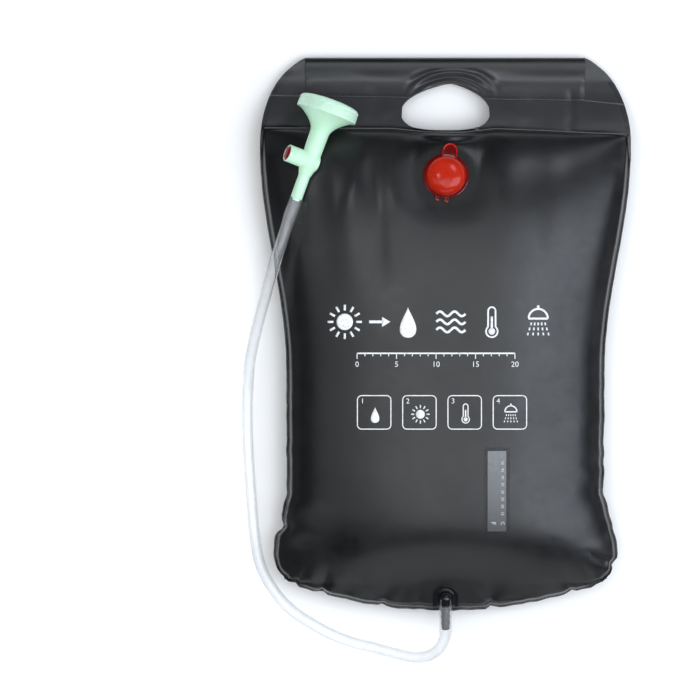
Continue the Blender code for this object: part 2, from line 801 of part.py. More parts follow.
def add_outlet(front, plastic):
    """Arched weld plate with a port through the film and an elbow that ends in the hose nozzle."""
    lean = Matrix.Rotation(OUTLET_TILT, 4, "X")
    seat = add_seat("outlet_seat", Matrix.Translation((0, OUTLET_Y, outlet_height())) @ lean)
    plate = arc((0, 0), (PLATE_RADIUS, PLATE_RADIUS), 0, pi, 20)
    plate = [(PLATE_RADIUS, -PLATE_FOOT)] + plate + [(-PLATE_RADIUS, -PLATE_FOOT)]
    fitting = add_part("outlet_fitting", prism("outlet_fitting", plate, GAP, GAP + PLATE_THICKNESS),
                       plastic, seat)
    port = cylinder("outlet_port", PORT_RADIUS, -PORT_DEPTH, NOZZLE_HEIGHT, 24)
    join(fitting, add_tool("outlet_port", port, seat))
    elbow = [(0.0, ELBOW_BACK + ELBOW_RADIUS)]
    elbow += arc((0, ELBOW_BACK), (ELBOW_RADIUS, ELBOW_RADIUS), radians(73), 0, 5)
    elbow += [(ELBOW_RADIUS, -ELBOW_FRONT), (NOZZLE_RADIUS, -ELBOW_FRONT - EDGE_ROUND),
              (NOZZLE_RADIUS, -NOZZLE_REACH + NOZZLE_TIP),
              (NOZZLE_BORE_RADIUS + EDGE_ROUND * 2, -NOZZLE_REACH), (0.0, -NOZZLE_REACH)]
    join(fitting, along_nozzle(turned_tool("outlet_elbow", elbow, 28, seat)))
    bore = cylinder("nozzle_bore", NOZZLE_BORE_RADIUS, -NOZZLE_REACH - NOZZLE_TIP, ELBOW_BACK, 20)
    cut(fitting, along_nozzle(add_tool("nozzle_bore_cutter", bore, seat)))
    drop = cylinder("port_bore", PORT_BORE_RADIUS, -2 * PORT_DEPTH, NOZZLE_HEIGHT, 20)
    cut(fitting, add_tool("port_bore_cutter", drop, seat))
    hole = cylinder("outlet_hole", PORT_RADIUS + GAP, -2 * PORT_DEPTH, PORT_DEPTH, 24)
    cut(front, add_tool("outlet_hole_cutter", hole, seat))
    return seat


# Shower head

def head_matrix():
    """Rim of the rose at the origin, spray along +Z, valve along +X; the head lies on the bag."""
    spray = Vector((sin(HEAD_SWING), cos(HEAD_SWING), 0))
    aside = Vector((cos(HEAD_SWING), -sin(HEAD_SWING), 0))
    rose = Vector((ROSE_X, ROSE_Y, 0))
    heel = rose - spray * ROSE_COLLAR
    housing = rose - spray * VALVE_AT + aside * VALVE_BACK * cos(HEAD_ROLL)
    rose_z = front_height(heel.x, heel.y) + ROSE_RADIUS + ROSE_LIFT
    housing_z = (front_height(housing.x, housing.y) + VALVE_BACK * sin(HEAD_ROLL)
                 + VALVE_OUTER_RADIUS * cos(HEAD_ROLL) + HOUSING_LIFT)
    pitch = atan2(rose_z - housing_z, VALVE_AT - ROSE_COLLAR)
    rose.z = rose_z + ROSE_COLLAR * sin(pitch)
    spray = Vector((spray.x * cos(pitch), spray.y * cos(pitch), sin(pitch)))
    left = Vector((0, 0, 1)).cross(spray).normalized()
    over = spray.cross(left)
    valve = left * cos(HEAD_ROLL) + over * sin(HEAD_ROLL)
    third = spray.cross(valve)
    turn = Matrix((valve, third, spray)).transposed().to_4x4()
    return Matrix.Translation(rose) @ turn


def head_outside():
    """From the rim of the funnel down the outside to the tip of the barb."""
    rim = ROSE_RADIUS - ROSE_WALL - FIT
    shoulder = rim - FUNNEL_SHOULDER
    points = [(rim, -ROSE_WALL - FIT), (rim, -ROSE_COLLAR + FUNNEL_SHOULDER)]
    count = 6
    for i in range(count + 1):
        share = i / count
        shape = (1 - share) ** FUNNEL_FLARE
        points.append((NECK_RADIUS + (shoulder - NECK_RADIUS) * shape,
                       -ROSE_COLLAR - (FUNNEL_END - ROSE_COLLAR) * share))
    points += [(GRIP_RADIUS, -GRIP_END), (STEM_RADIUS + EDGE_ROUND, -TAPER_END),
               (STEM_RADIUS, -TAPER_END - EDGE_ROUND), (STEM_RADIUS, -STEM_END)]
    return points


def barb_profile():
    """Two low barbs on the spigot that the hose is pushed over."""
    tip = -STEM_END - HEAD_BARB_LENGTH
    spigot = BARB_RADIUS - BARB_STEP
    pitch = HEAD_BARB_LENGTH / 3
    points = [(spigot, -STEM_END)]
    for i in (1, 2):
        crest = -STEM_END - pitch * i
        points += [(spigot, crest + BARB_STEP), (BARB_RADIUS, crest), (spigot, crest - pitch / 2)]
    points.append((STEM_BORE_RADIUS + BARB_TIP_WALL, tip))
    return points


def head_inside():
    """From the tip of the barb up the bore and out along the funnel."""
    tip = -STEM_END - HEAD_BARB_LENGTH
    rim = ROSE_RADIUS - ROSE_WALL - FIT - HEAD_WALL
    throat = STEM_BORE_RADIUS + FUNNEL_SHOULDER
    points = [(STEM_BORE_RADIUS, tip), (STEM_BORE_RADIUS, -FUNNEL_END - FUNNEL_THROAT)]
    count = 4
    for i in range(count + 1):
        share = 1 - i / count
        shape = (1 - share) ** FUNNEL_FLARE
        points.append((throat + (rim - throat) * shape,
                       -ROSE_COLLAR + HEAD_WALL - (FUNNEL_END - ROSE_COLLAR) * share))
    points.append((rim, -ROSE_WALL - FIT))
    return points


def along_valve(obj):
    """Turn a shape made along Z to lie along the valve, at the valve's place on the head."""
    obj.location = (0, 0, -VALVE_AT)
    obj.rotation_euler = (0, pi / 2, 0)
    return obj


def slot_cutter(name, width, radius, start, end, seat):
    """A shallow groove with round ends along the grip, on the side of the valve."""
    outline = arc((0, -start - width / 2), (width / 2, width / 2), 0, pi, 8)
    outline += arc((0, -end + width / 2), (width / 2, width / 2), pi, 2 * pi, 8)
    mesh = prism(name, outline, radius - GRIP_SLOT_DEPTH, 2 * radius)
    mesh.transform(Matrix(((0, 0, 1, 0), (1, 0, 0, 0), (0, 1, 0, 0), (0, 0, 0, 1))))
    return add_tool(name, mesh, seat)


def add_head_body(plastic, seat):
    """Funnel, grip, stem and barb in one moulding, with the valve barrel across it."""
    body = turned_part("head_body", head_outside() + barb_profile() + head_inside(), 24,
                       plastic, seat, closed=True)
    barrel = cylinder("valve_barrel", VALVE_OUTER_RADIUS, -VALVE_BACK, VALVE_REACH, 28)
    join(body, along_valve(add_tool("valve_barrel", barrel, seat)))
    outside = VALVE_REACH + BUTTON_RIDGE
    bore = cylinder("valve_bore", VALVE_BORE_RADIUS, -VALVE_BORE_DEPTH, outside, 28)
    cut(body, along_valve(add_tool("valve_bore_cutter", bore, seat)))
    pocket = VALVE_REACH - BUTTON_THICKNESS - BUTTON_RECESS - GAP
    mouth = cylinder("valve_mouth", BUTTON_RADIUS + FIT, pocket, outside, 28)
    cut(body, along_valve(add_tool("valve_mouth_cutter", mouth, seat)))
    for name, width, radius, start, end in (
            ("grip_slot_cutter", GRIP_SLOT_WIDTH, GRIP_RADIUS, GRIP_SLOT_START, GRIP_SLOT_END),
            ("stem_slot_cutter", STEM_SLOT_WIDTH, STEM_RADIUS, STEM_SLOT_START, STEM_SLOT_END)):
        cut(body, slot_cutter(name, width, radius, start, end, seat))
    return body


def rose_hole_places():
    """Rings of six, twelve and eighteen holes round one in the middle."""
    places = [(0.0, 0.0)]
    for ring in range(1, ROSE_HOLE_RINGS + 1):
        count = 6 * ring
        for i in range(count):
            angle = 2 * pi * i / count
            places.append((ring * ROSE_RING_SPACING * cos(angle), ring * ROSE_RING_SPACING * sin(angle)))
    return places


def add_rose_cap(plastic, seat):
    """Domed face and collar, snapped over the rim of the funnel."""
    inner = ROSE_RADIUS - ROSE_WALL
    top = dome_profile(ROSE_RADIUS - ROSE_EDGE, ROSE_CROWN, 0.0, 4)
    under = dome_profile(inner, ROSE_CROWN, -ROSE_WALL, 3)
    profile = top + [(ROSE_RADIUS, -ROSE_EDGE), (ROSE_RADIUS, -ROSE_COLLAR + EDGE_ROUND),
                     (ROSE_RADIUS - EDGE_ROUND, -ROSE_COLLAR), (inner, -ROSE_COLLAR)]
    profile += list(reversed(under))
    rose = turned_part("rose_cap", profile, 36, plastic, seat)
    bm = bmesh.new()
    for x, y in rose_hole_places():
        bmesh.ops.create_cone(
            bm, cap_ends=True, segments=6, radius1=ROSE_HOLE_RADIUS, radius2=ROSE_HOLE_RADIUS,
            depth=2 * (ROSE_CROWN + ROSE_WALL), matrix=Matrix.Translation((x, y, ROSE_CROWN / 2)))
    mesh = bpy.data.meshes.new("rose_holes")
    bm.to_mesh(mesh)
    bm.free()
    cut(rose, add_tool("rose_hole_cutters", mesh, seat))
    return rose


def add_valve_plunger(plastic, seat):
    """Button with a finger ridge on a round stem with two seal grooves."""
    groove = VALVE_BORE_RADIUS - FIT - 2 * SEAL_SECTION - GROOVE_SPARE
    stem = VALVE_BORE_RADIUS - FIT
    face = VALVE_REACH - BUTTON_RECESS
    shoulder = face - BUTTON_THICKNESS
    half = SEAL_SECTION + GROOVE_SPARE
    inside = BUTTON_RADIUS - BUTTON_RIM
    profile = [(0.0, face - EDGE_ROUND), (inside - EDGE_ROUND, face - EDGE_ROUND),
               (inside, face), (BUTTON_RADIUS - EDGE_ROUND, face),
               (BUTTON_RADIUS, face - EDGE_ROUND), (BUTTON_RADIUS, shoulder), (stem, shoulder)]
    for at in (SEAL_OUTER_AT, SEAL_INNER_AT):
        profile += [(stem, at + half), (groove, at + half), (groove, at - half), (stem, at - half)]
    end = -VALVE_BORE_DEPTH + FIT
    profile += [(stem, end + EDGE_ROUND), (stem - EDGE_ROUND, end), (0.0, end)]
    plunger = along_valve(turned_part("valve_plunger", profile, 28, plastic, seat))
    half_x = BUTTON_RADIUS - BUTTON_RIDGE_INSET
    half_y = BUTTON_RIDGE_WIDTH / 2
    outline = [(-half_x, -half_y), (half_x, -half_y), (half_x, half_y), (-half_x, half_y)]
    ridge = prism("button_ridge", outline, face - BUTTON_RIM, face + BUTTON_RIDGE)
    join(plunger, along_valve(add_tool("button_ridge", ridge, seat)))
    return plunger


def add_seal(name, at, rubber, seat):
    """Round sealing ring in its groove."""
    middle = VALVE_BORE_RADIUS - (FIT + GROOVE_SPARE) / 2 - SEAL_SECTION
    profile = arc((middle, at), (SEAL_SECTION, SEAL_SECTION), 0, -2 * pi, 6)[:-1]
    return along_valve(turned_part(name, profile, 20, rubber, seat, closed=True))


# Hose

def smooth_route(points, step):
    """Points every step along a smooth curve through the route's own points."""
    ends = [points[0] * 2 - points[1]] + points + [points[-1] * 2 - points[-2]]
    fine = []
    for a, b, c, d in zip(ends, ends[1:], ends[2:], ends[3:]):
        for i in range(24):
            t = i / 24
            fine.append(0.5 * ((2 * b) + (c - a) * t + (2 * a - 5 * b + 4 * c - d) * t * t
                               + (3 * b - a - 3 * c + d) * t ** 3))
    fine.append(points[-1])
    lengths = [0.0]
    for a, b in zip(fine, fine[1:]):
        lengths.append(lengths[-1] + (b - a).length)
    count = max(2, round(lengths[-1] / step))
    result = []
    at = 0
    for i in range(count + 1):
        goal = lengths[-1] * i / count
        while at < len(lengths) - 2 and lengths[at + 1] < goal:
            at += 1
        share = (goal - lengths[at]) / (lengths[at + 1] - lengths[at])
        result.append(fine[at].lerp(fine[at + 1], share))
    print(f"hose length {lengths[-1]:.4f} m in {count} steps")
    return result


def add_hose(clear, outlet_seat, head_seat):
    """Clear tube, stretched over the nozzle at one end and the barb of the head at the other."""
    starts = (-ELBOW_FRONT - 4 * GAP, -NOZZLE_REACH / 2, -NOZZLE_REACH + 4 * EDGE_ROUND)
    over_nozzle = [outlet_seat @ Vector((0, y, NOZZLE_HEIGHT)) for y in starts]
    ends = (-STEM_END - HEAD_BARB_LENGTH, -STEM_END - HEAD_BARB_LENGTH / 2, -STEM_END - GAP)
    over_barb = [head_seat @ Vector((0, 0, z)) for z in ends]
    route = over_nozzle + [Vector(p) for p in HOSE_ROUTE] + over_barb
    points = smooth_route(route, HOSE_STEP)
    curve = bpy.data.curves.new("hose_line", "CURVE")
    curve.dimensions = "3D"
    curve.bevel_depth = HOSE_RADIUS
    curve.bevel_resolution = HOSE_SIDES_RESOLUTION
    spline = curve.splines.new("POLY")
    spline.points.add(len(points) - 1)
    for i, point in enumerate(points):
        on_nozzle = (i - 1) * HOSE_STEP < NOZZLE_REACH - ELBOW_FRONT
        on_barb = (len(points) - 2 - i) * HOSE_STEP < 0.5 * HEAD_BARB_LENGTH
        stretch = HOSE_END_STRETCH if on_nozzle or on_barb else 1.0
        spline.points[i].co = (*point, 1.0)
        spline.points[i].radius = stretch
    line = bpy.data.objects.new("hose_line", curve)
    TOOLS.objects.link(line)
    bpy.context.view_layer.update()
    mesh = bpy.data.meshes.new_from_object(line.evaluated_get(bpy.context.evaluated_depsgraph_get()))
    mesh.name = "hose"
    bpy.data.objects.remove(line, do_unlink=True)
    smooth(mesh)
    hose = add_part("hose", mesh, clear)
    solidify(hose, HOSE_WALL, -1)
    return hose


def build():
    clear_scene()
    film = surface("black_film", (0.012, 0.012, 0.014), 0.38)
    rod_plastic = surface("rod_plastic", (0.03, 0.03, 0.03), 0.5)
    black = surface("gloss_black_plastic", (0.008, 0.008, 0.009), 0.15)
    red = surface("red_cap_plastic", (0.62, 0.035, 0.012), 0.18)
    strap_red = surface("red_strap_plastic", (0.35, 0.012, 0.010), 0.25)
    crimson = surface("crimson_button", (0.55, 0.012, 0.035), 0.35)
    mint = surface("mint_plastic", (0.55, 0.90, 0.68), 0.35, 0.3)
    clear = surface("clear_hose", (0.92, 0.93, 0.94), 0.08, 0.95)
    window = surface("clear_pocket", (0.85, 0.87, 0.88), 0.12, 0.9)
    strip = surface("grey_strip", (0.25, 0.26, 0.28), 0.4)
    rubber = surface("black_rubber", (0.015, 0.015, 0.015), 0.6)

    front = add_film_panels(film)
    add_rod_sleeve(film)
    add_handle_rod(rod_plastic)

    filler_seat = add_filler_seat()
    add_filler_flange(front, black, filler_seat)
    add_cap_strap(strap_red, filler_seat)
    add_filler_cap(red, filler_seat)

    add_thermometer(strip, window)
    outlet_seat = add_outlet(front, black)

    head_seat = add_seat("head_seat", head_matrix())
    add_head_body(mint, head_seat)
    add_rose_cap(mint, head_seat)
    add_valve_plunger(crimson, head_seat)
    add_seal("plunger_seal_inner", SEAL_INNER_AT, rubber, head_seat)
    add_seal("plunger_seal_outer", SEAL_OUTER_AT, rubber, head_seat)
    add_hose(clear, outlet_seat.matrix_world.copy(), head_seat.matrix_world.copy())


build()
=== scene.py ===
# %% [markdown]
# # Dressing a solar shower bag
#
# The construction model of this bag is already made: welded film panels, a rod, a filler cap, an
# outlet, a hose and a shower head, each as a plain solid at its real size. This notebook puts the
# looks around it. Nothing here moves a part of that model. Soft pieces, such as the film and the
# hose, are modelled again with their folds, and hard pieces get finer edges and real finishes.
#
# Everything is in metres, X across the bag, Y from the outlet up to the rod, and Z away from the
# floor that the bag lies on.

# %% Load the model
from math import ceil, cos, pi, radians, sin, tan

import bmesh
import bpy
import numpy as np
from mathutils import Matrix, Vector
from mathutils.kdtree import KDTree


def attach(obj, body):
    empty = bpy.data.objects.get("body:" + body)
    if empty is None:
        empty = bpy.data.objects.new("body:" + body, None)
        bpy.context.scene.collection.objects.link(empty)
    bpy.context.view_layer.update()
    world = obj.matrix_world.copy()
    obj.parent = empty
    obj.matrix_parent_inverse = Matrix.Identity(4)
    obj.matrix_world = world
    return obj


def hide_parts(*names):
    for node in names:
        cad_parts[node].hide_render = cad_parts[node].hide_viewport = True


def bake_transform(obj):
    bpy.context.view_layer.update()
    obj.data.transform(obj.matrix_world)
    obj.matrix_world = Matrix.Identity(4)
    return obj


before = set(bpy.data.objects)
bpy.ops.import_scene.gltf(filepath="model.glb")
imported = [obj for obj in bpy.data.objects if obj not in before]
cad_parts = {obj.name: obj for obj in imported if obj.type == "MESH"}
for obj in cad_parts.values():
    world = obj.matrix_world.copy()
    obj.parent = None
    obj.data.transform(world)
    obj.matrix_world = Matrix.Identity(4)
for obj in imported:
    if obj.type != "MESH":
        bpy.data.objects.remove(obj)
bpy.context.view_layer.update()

# %% [markdown]
# ## Camera, floor and light
#
# The photograph looks straight down at the bag from far away, so the camera has a long lens. One
# pixel of the photograph is 1.081 mm on the bag. The floor is plain and pale. Black film shows
# mostly what it mirrors, so the light decides how the bag looks: a wide soft panel above it gives
# the broad grey sheen, a strong one from the right and a weak one from the left lift the sides,
# and a low one at the foot catches the rolled bottom edge. A small panel lifts the header, and a
# smaller one puts the highlight on the cap.
#
# Every finish is made from nodes. The small helpers below add the nodes that most finishes share:
# a noise, two tones over it, an uneven gloss and a fine relief.

# %% Camera
PIXEL = 0.001081
PHOTO_SIZE = 700
BAG_MIDDLE_PIXEL = (445.5, 334.5)
LENS = 340.0
SENSOR = 36.0
FILM_LEVEL = 0.030


def new_object(name, data):
    """An object of the scene around some data."""
    thing = bpy.data.objects.new(name, data)
    bpy.context.scene.collection.objects.link(thing)
    return thing


def place_camera():
    data = bpy.data.cameras.new("studio_camera")
    data.lens = LENS
    data.sensor_width = SENSOR
    camera = new_object("studio_camera", data)
    distance = PIXEL * PHOTO_SIZE * LENS / SENSOR
    camera.location = ((PHOTO_SIZE / 2 - BAG_MIDDLE_PIXEL[0]) * PIXEL,
                       (BAG_MIDDLE_PIXEL[1] - PHOTO_SIZE / 2) * PIXEL, FILM_LEVEL + distance)
    bpy.context.scene.camera = camera
    return camera


camera = place_camera()
print("camera at", [round(c, 4) for c in camera.location])

# %% Finishes from nodes
MIX_FIRST, MIX_SECOND, MIX_RESULT = 6, 7, 2


def shader_of(material):
    return material.node_tree.nodes["Principled BSDF"]


def principled(name, **sockets):
    """A material with its Principled shader's own sockets set."""
    material = bpy.data.materials.new(name)
    material.use_nodes = True
    for socket, value in sockets.items():
        if socket == "Base_Color":
            value = (*value, 1.0)
        shader_of(material).inputs[socket.replace("_", " ")].default_value = value
    return material


def add_node(material, kind, **settings):
    """Another node for the material, with its settings and unlinked inputs."""
    node = material.node_tree.nodes.new(kind)
    for key, value in settings.items():
        if hasattr(node, key):
            setattr(node, key, value)
        else:
            node.inputs[key.replace("_", " ")].default_value = value
    return node


def link(material, source, output, target, socket):
    material.node_tree.links.new(source.outputs[output], target.inputs[socket])


def noise(material, place=None, kind="ShaderNodeTexNoise", **settings):
    """A noise, laid over the object's own coordinates where the place node is given."""
    texture = add_node(material, kind, **settings)
    if place:
        link(material, place, "Object", texture, "Vector")
    return texture


def two_tones(material, source, output, dark, light, low=0.0, high=1.0):
    """A ramp between two tones."""
    ramp = add_node(material, "ShaderNodeValToRGB")
    for stop, position, tone in zip(ramp.color_ramp.elements, (low, high), (dark, light)):
        stop.position = position
        stop.color = (*tone, 1)
    link(material, source, output, ramp, "Fac")
    return ramp


def tint(material, base, factor, output, tone):
    """The base tone of the shader, mixed with another tone as far as the factor says."""
    mix = add_node(material, "ShaderNodeMix", data_type="RGBA")
    mix.inputs[MIX_SECOND].default_value = (*tone, 1)
    link(material, factor, output, mix, "Factor")
    link(material, base, "Color", mix, MIX_FIRST)
    link(material, mix, MIX_RESULT, shader_of(material), "Base Color")


def uneven_gloss(material, source, low, high):
    """Roughness between two limits, after a noise."""
    spread = add_node(material, "ShaderNodeMapRange", To_Min=low, To_Max=high)
    link(material, source, "Fac", spread, "Value")
    link(material, spread, "Result", shader_of(material), "Roughness")


def relief(material, source, output, strength, distance, under=None):
    """A texture as relief on the surface, or on a wider relief under it."""
    bump = add_node(material, "ShaderNodeBump", Strength=strength, Distance=distance)
    link(material, source, output, bump, "Height")
    if under:
        link(material, under, "Normal", bump, "Normal")
    link(material, bump, "Normal", shader_of(material), "Normal")
    return bump


print("finishes are made from nodes")

# %% Floor, world and lights
FLOOR_HALF = 6.0
FLOOR_DROP = 0.0002
AIR_COLOUR = (0.97, 0.98, 1.0, 1.0)
AIR_STRENGTH = 0.60
# Soft panels: place, the point they look at, size, watts and colour.
PANELS = {
    "overhead_panel": ((0.10, -0.20, 2.2), (0, 0, 0), (1.1, 1.6), 10.2, (0.95, 0.98, 1.0)),
    "right_panel": ((1.30, -0.15, 1.9), (0, 0, 0.05), (1.4, 1.7), 27.0, (0.83, 0.90, 1.0)),
    "left_panel": ((-1.00, -0.05, 2.0), (0, 0, 0.05), (0.8, 1.7), 4.4, (0.95, 0.98, 1.0)),
    "foot_panel": ((0.25, -2.1, 0.9), (0, -0.2, 0), (2.4, 1.6), 11.0, (0.93, 0.97, 1.0)),
    "header_panel": ((0.60, 1.30, 1.5), (0.12, 0.24, 0), (0.5, 0.5), 3.6, (0.86, 0.92, 1.0)),
    "key_panel": ((-0.55, 0.75, 1.9), (0, 0.15, 0.05), (0.30, 0.26), 2.0, (0.95, 0.98, 1.0)),
}


def lay_floor():
    mesh = bpy.data.meshes.new("studio_floor")
    corners = ((-1, -1), (1, -1), (1, 1), (-1, 1))
    mesh.from_pydata([(x * FLOOR_HALF, y * FLOOR_HALF, 0) for x, y in corners], [], [(0, 1, 2, 3)])
    floor = new_object("studio_floor", mesh)
    floor.location.z = -FLOOR_DROP
    paper = principled("floor_paper", Base_Color=(0.90, 0.90, 0.90), Roughness=0.9)
    relief(paper, noise(paper, Scale=900.0, Detail=3.0), "Fac", 0.05, 0.0002)
    mesh.materials.append(paper)


def light_studio():
    world = bpy.data.worlds.new("studio_air")
    world.use_nodes = True
    background = world.node_tree.nodes["Background"]
    background.inputs["Color"].default_value = AIR_COLOUR
    background.inputs["Strength"].default_value = AIR_STRENGTH
    bpy.context.scene.world = world
    world.cycles_visibility.glossy = False
    for name, (place, aim, size, watts, colour) in PANELS.items():
        data = bpy.data.lights.new(name, "AREA")
        data.shape = "RECTANGLE"
        data.size, data.size_y = size
        data.energy = watts
        data.color = colour
        lamp = new_object(name, data)
        lamp.location = place
        lamp.rotation_euler = (Vector(aim) - Vector(place)).to_track_quat("-Z", "Y").to_euler()
    bpy.context.scene.view_settings.view_transform = "Standard"


lay_floor()
light_studio()
print(len(PANELS), "soft panels")

# %% [markdown]
# ## Hose
#
# The hose is clear flexible PVC, 12.5 mm outside with a 1.25 mm wall. It leaves the outlet at the
# foot of the bag, drops to the floor, runs up along the left side and climbs over the edge of the
# bag to the shower head. Its route is a list of points, the same as in the construction model,
# and a smooth curve runs through them. A curve with a round bevel would make a solid bar, and
# clear plastic shows its inside, so the tube is built as mesh rings: one skin outside and one
# inside, closed by a ring at each end. Both ends are stretched a little where they are pushed over
# the nozzle and the barb. Seen edge-on the wall is thicker than seen from straight above, so a
# Layer Weight node makes its sides a little greyer.

# %% Hose sizes and route
HOSE_RADIUS = 0.00625
HOSE_WALL = 0.00125
HOSE_END_STRETCH = 1.12
OUTLET_PLACE = Vector((0.0, -0.2835, 0.03595))
OUTLET_TILT = radians(17)
NOZZLE_HEIGHT = 0.0098
NOZZLE_REACH = 0.0335
HEAD_PLACE = Vector((-0.1251, 0.2479, 0.05881))
SPRAY_AXIS = Vector((0.33327, 0.94111, -0.05694))
VALVE_AXIS = Vector((-0.86688, 0.32961, 0.374))
STEM_END = 0.108
HEAD_BARB_LENGTH = 0.020

HOSE_ROUTE = [
    (-0.0010, -0.3280, 0.0324),
    (-0.0075, -0.3400, 0.0283),
    (-0.0185, -0.3475, 0.0236),
    (-0.0330, -0.3495, 0.0187),
    (-0.0520, -0.3460, 0.0138),
    (-0.0760, -0.3400, 0.0095),
    (-0.1020, -0.3335, 0.0070),
    (-0.1310, -0.3215, 0.0064),
    (-0.1660, -0.2995, 0.0064),
    (-0.1880, -0.2745, 0.0064),
    (-0.2010, -0.2480, 0.0064),
    (-0.2070, -0.2140, 0.0064),
    (-0.2110, -0.1660, 0.0064),
    (-0.2140, -0.1150, 0.0066),
    (-0.2145, -0.0720, 0.0092),
    (-0.2112, -0.0276, 0.0185),
    (-0.2025, 0.0114, 0.0320),
    (-0.1945, 0.0405, 0.0445),
    (-0.1882, 0.0625, 0.0540),
    (-0.1806, 0.0885, 0.0630),
]


def seat_matrix(place, x_axis, y_axis, z_axis):
    turn = Matrix((x_axis, y_axis, z_axis)).transposed().to_4x4()
    return Matrix.Translation(place) @ turn


outlet_seat = Matrix.Translation(OUTLET_PLACE) @ Matrix.Rotation(OUTLET_TILT, 4, "X")
spray = SPRAY_AXIS.normalized()
valve = (VALVE_AXIS - spray * VALVE_AXIS.dot(spray)).normalized()
head_seat = seat_matrix(HEAD_PLACE, valve, spray.cross(valve), spray)
print("head lies along", [round(c, 3) for c in spray])


# %% A smooth line through the route
ROUTE_SPLITS = 24
HOSE_STEP = 0.003
NOZZLE_START = 0.0067
NOZZLE_TIP = 0.0016
HOSE_CLEAR = 0.0003


def ease(t):
    """0 before 0, 1 after 1 and a soft step between."""
    t = np.clip(t, 0.0, 1.0)
    return t * t * (3 - 2 * t)


def run_along(points):
    """How far along a line of points each of them lies."""
    return np.concatenate([[0.0], np.cumsum(np.linalg.norm(np.diff(points, axis=0), axis=1))])


def even_points(points, goals):
    """The points of a line at given distances along it."""
    run = run_along(points)
    return np.stack([np.interp(goals, run, axis) for axis in points.T], axis=1)


def smooth_route(points, step):
    """Points every step along a curve that passes through the given points."""
    ends = [points[0] * 2 - points[1]] + points + [points[-1] * 2 - points[-2]]
    fine = []
    for a, b, c, d in zip(ends, ends[1:], ends[2:], ends[3:]):
        for i in range(ROUTE_SPLITS):
            t = i / ROUTE_SPLITS
            fine.append(0.5 * ((2 * b) + (c - a) * t + (2 * a - 5 * b + 4 * c - d) * t * t
                               + (3 * b - a - 3 * c + d) * t ** 3))
    fine = np.array(fine + [points[-1]])
    length = run_along(fine)[-1]
    goals = np.linspace(0.0, length, max(2, round(length / step)) + 1)
    return [Vector(p) for p in even_points(fine, goals)], length


over_nozzle = [outlet_seat @ Vector((0, y, NOZZLE_HEIGHT))
               for y in (-NOZZLE_START, -NOZZLE_REACH / 2, -NOZZLE_REACH + NOZZLE_TIP)]
over_barb = [head_seat @ Vector((0, 0, -STEM_END - z))
             for z in (HEAD_BARB_LENGTH, HEAD_BARB_LENGTH / 2, HOSE_CLEAR)]
hose_line, hose_run = smooth_route(over_nozzle + [Vector(p) for p in HOSE_ROUTE] + over_barb,
                                   HOSE_STEP)
print(f"hose line {hose_run:.4f} m through {len(hose_line)} points")


# %% Tube around a line
def tube_frames(points):
    """Two directions square to the line at each point, carried along without twist."""
    frames = []
    side = Vector((0, 0, 1))
    for i in range(len(points)):
        along = (points[min(i + 1, len(points) - 1)] - points[max(i - 1, 0)]).normalized()
        side = (side - along * side.dot(along)).normalized()
        frames.append((side.copy(), along.cross(side)))
    return frames


def add_piece(name, mesh, *materials):
    """A new object of the scene with its finishes."""
    for material in materials:
        mesh.materials.append(material)
    return new_object(name, mesh)


def mesh_of(name, bm, sharp=None):
    """The finished mesh, shaded smooth; edges over the sharp angle stay crisp."""
    mesh = bpy.data.meshes.new(name)
    bm.to_mesh(mesh)
    bm.free()
    mesh.shade_smooth()
    if sharp is not None:
        mesh.set_sharp_from_angle(angle=radians(sharp))
    return mesh


def closed_mesh(name, bm, sharp):
    """As mesh_of, for a closed shape, with all its faces turned outwards first."""
    bmesh.ops.recalc_face_normals(bm, faces=bm.faces)
    return mesh_of(name, bm, sharp)


def skin(bm, rows, around=False, closed=False, flip=False):
    """Faces between rows of points; a row or the set of rows may run round to its start."""
    rings = [[bm.verts.new(p) for p in row] for row in rows]
    for low, high in zip(rings, rings[1:] + (rings[:1] if closed else [])):
        for k in range(len(low) if around else len(low) - 1):
            m = (k + 1) % len(low)
            face = (low[k], low[m], high[m], high[k])
            bm.faces.new(face[::-1] if flip else face)
    return rings


def hollow_tube(name, points, radii, wall, sides):
    """Outer and inner skin along the line, joined by a ring at each end."""
    turns = [2 * pi * k / sides for k in range(sides)]
    frames = tube_frames(points)

    def rings(inset):
        for point, radius, (a, b) in zip(points, radii, frames):
            r = radius - inset
            yield [point + a * r * cos(t) + b * r * sin(t) for t in turns]
    bm = bmesh.new()
    outer = skin(bm, rings(0.0), around=True)
    inner = skin(bm, rings(wall), around=True, flip=True)
    for end in (0, -1):
        a, b = outer[end], inner[end]
        for k in range(sides):
            m = (k + 1) % sides
            bm.faces.new((a[k], a[m], b[m], b[k]))
    return closed_mesh(name, bm, 50)


print("tubes are built from rings of points")

# %% The hose itself
HOSE_SIDES = 36
STRETCH_FADE = 0.010


def hose_radii(points):
    """Wider over the nozzle and the barb, easing back to the plain hose."""
    step = (points[1] - points[0]).length
    radii = []
    for i in range(len(points)):
        from_nozzle = i * step - (NOZZLE_REACH - NOZZLE_START)
        from_barb = (len(points) - 1 - i) * step - HEAD_BARB_LENGTH
        share = 1 - float(ease(min(from_nozzle, from_barb) / STRETCH_FADE))
        radii.append(HOSE_RADIUS * (1 + (HOSE_END_STRETCH - 1) * share))
    return radii


clear_pvc = principled("clear_pvc", IOR=1.07, Transmission_Weight=0.955, Coat_Weight=0.40,
                       Coat_Roughness=0.06)
mist = noise(clear_pvc, Scale=24.0, Detail=2.0)
milk = two_tones(clear_pvc, mist, "Fac", (0.90, 0.905, 0.91), (0.94, 0.945, 0.95), 0.35, 0.65)
wall_edge = add_node(clear_pvc, "ShaderNodeLayerWeight", Blend=0.30)
tint(clear_pvc, milk, wall_edge, "Facing", (0.60, 0.61, 0.62))
uneven_gloss(clear_pvc, mist, 0.02, 0.05)

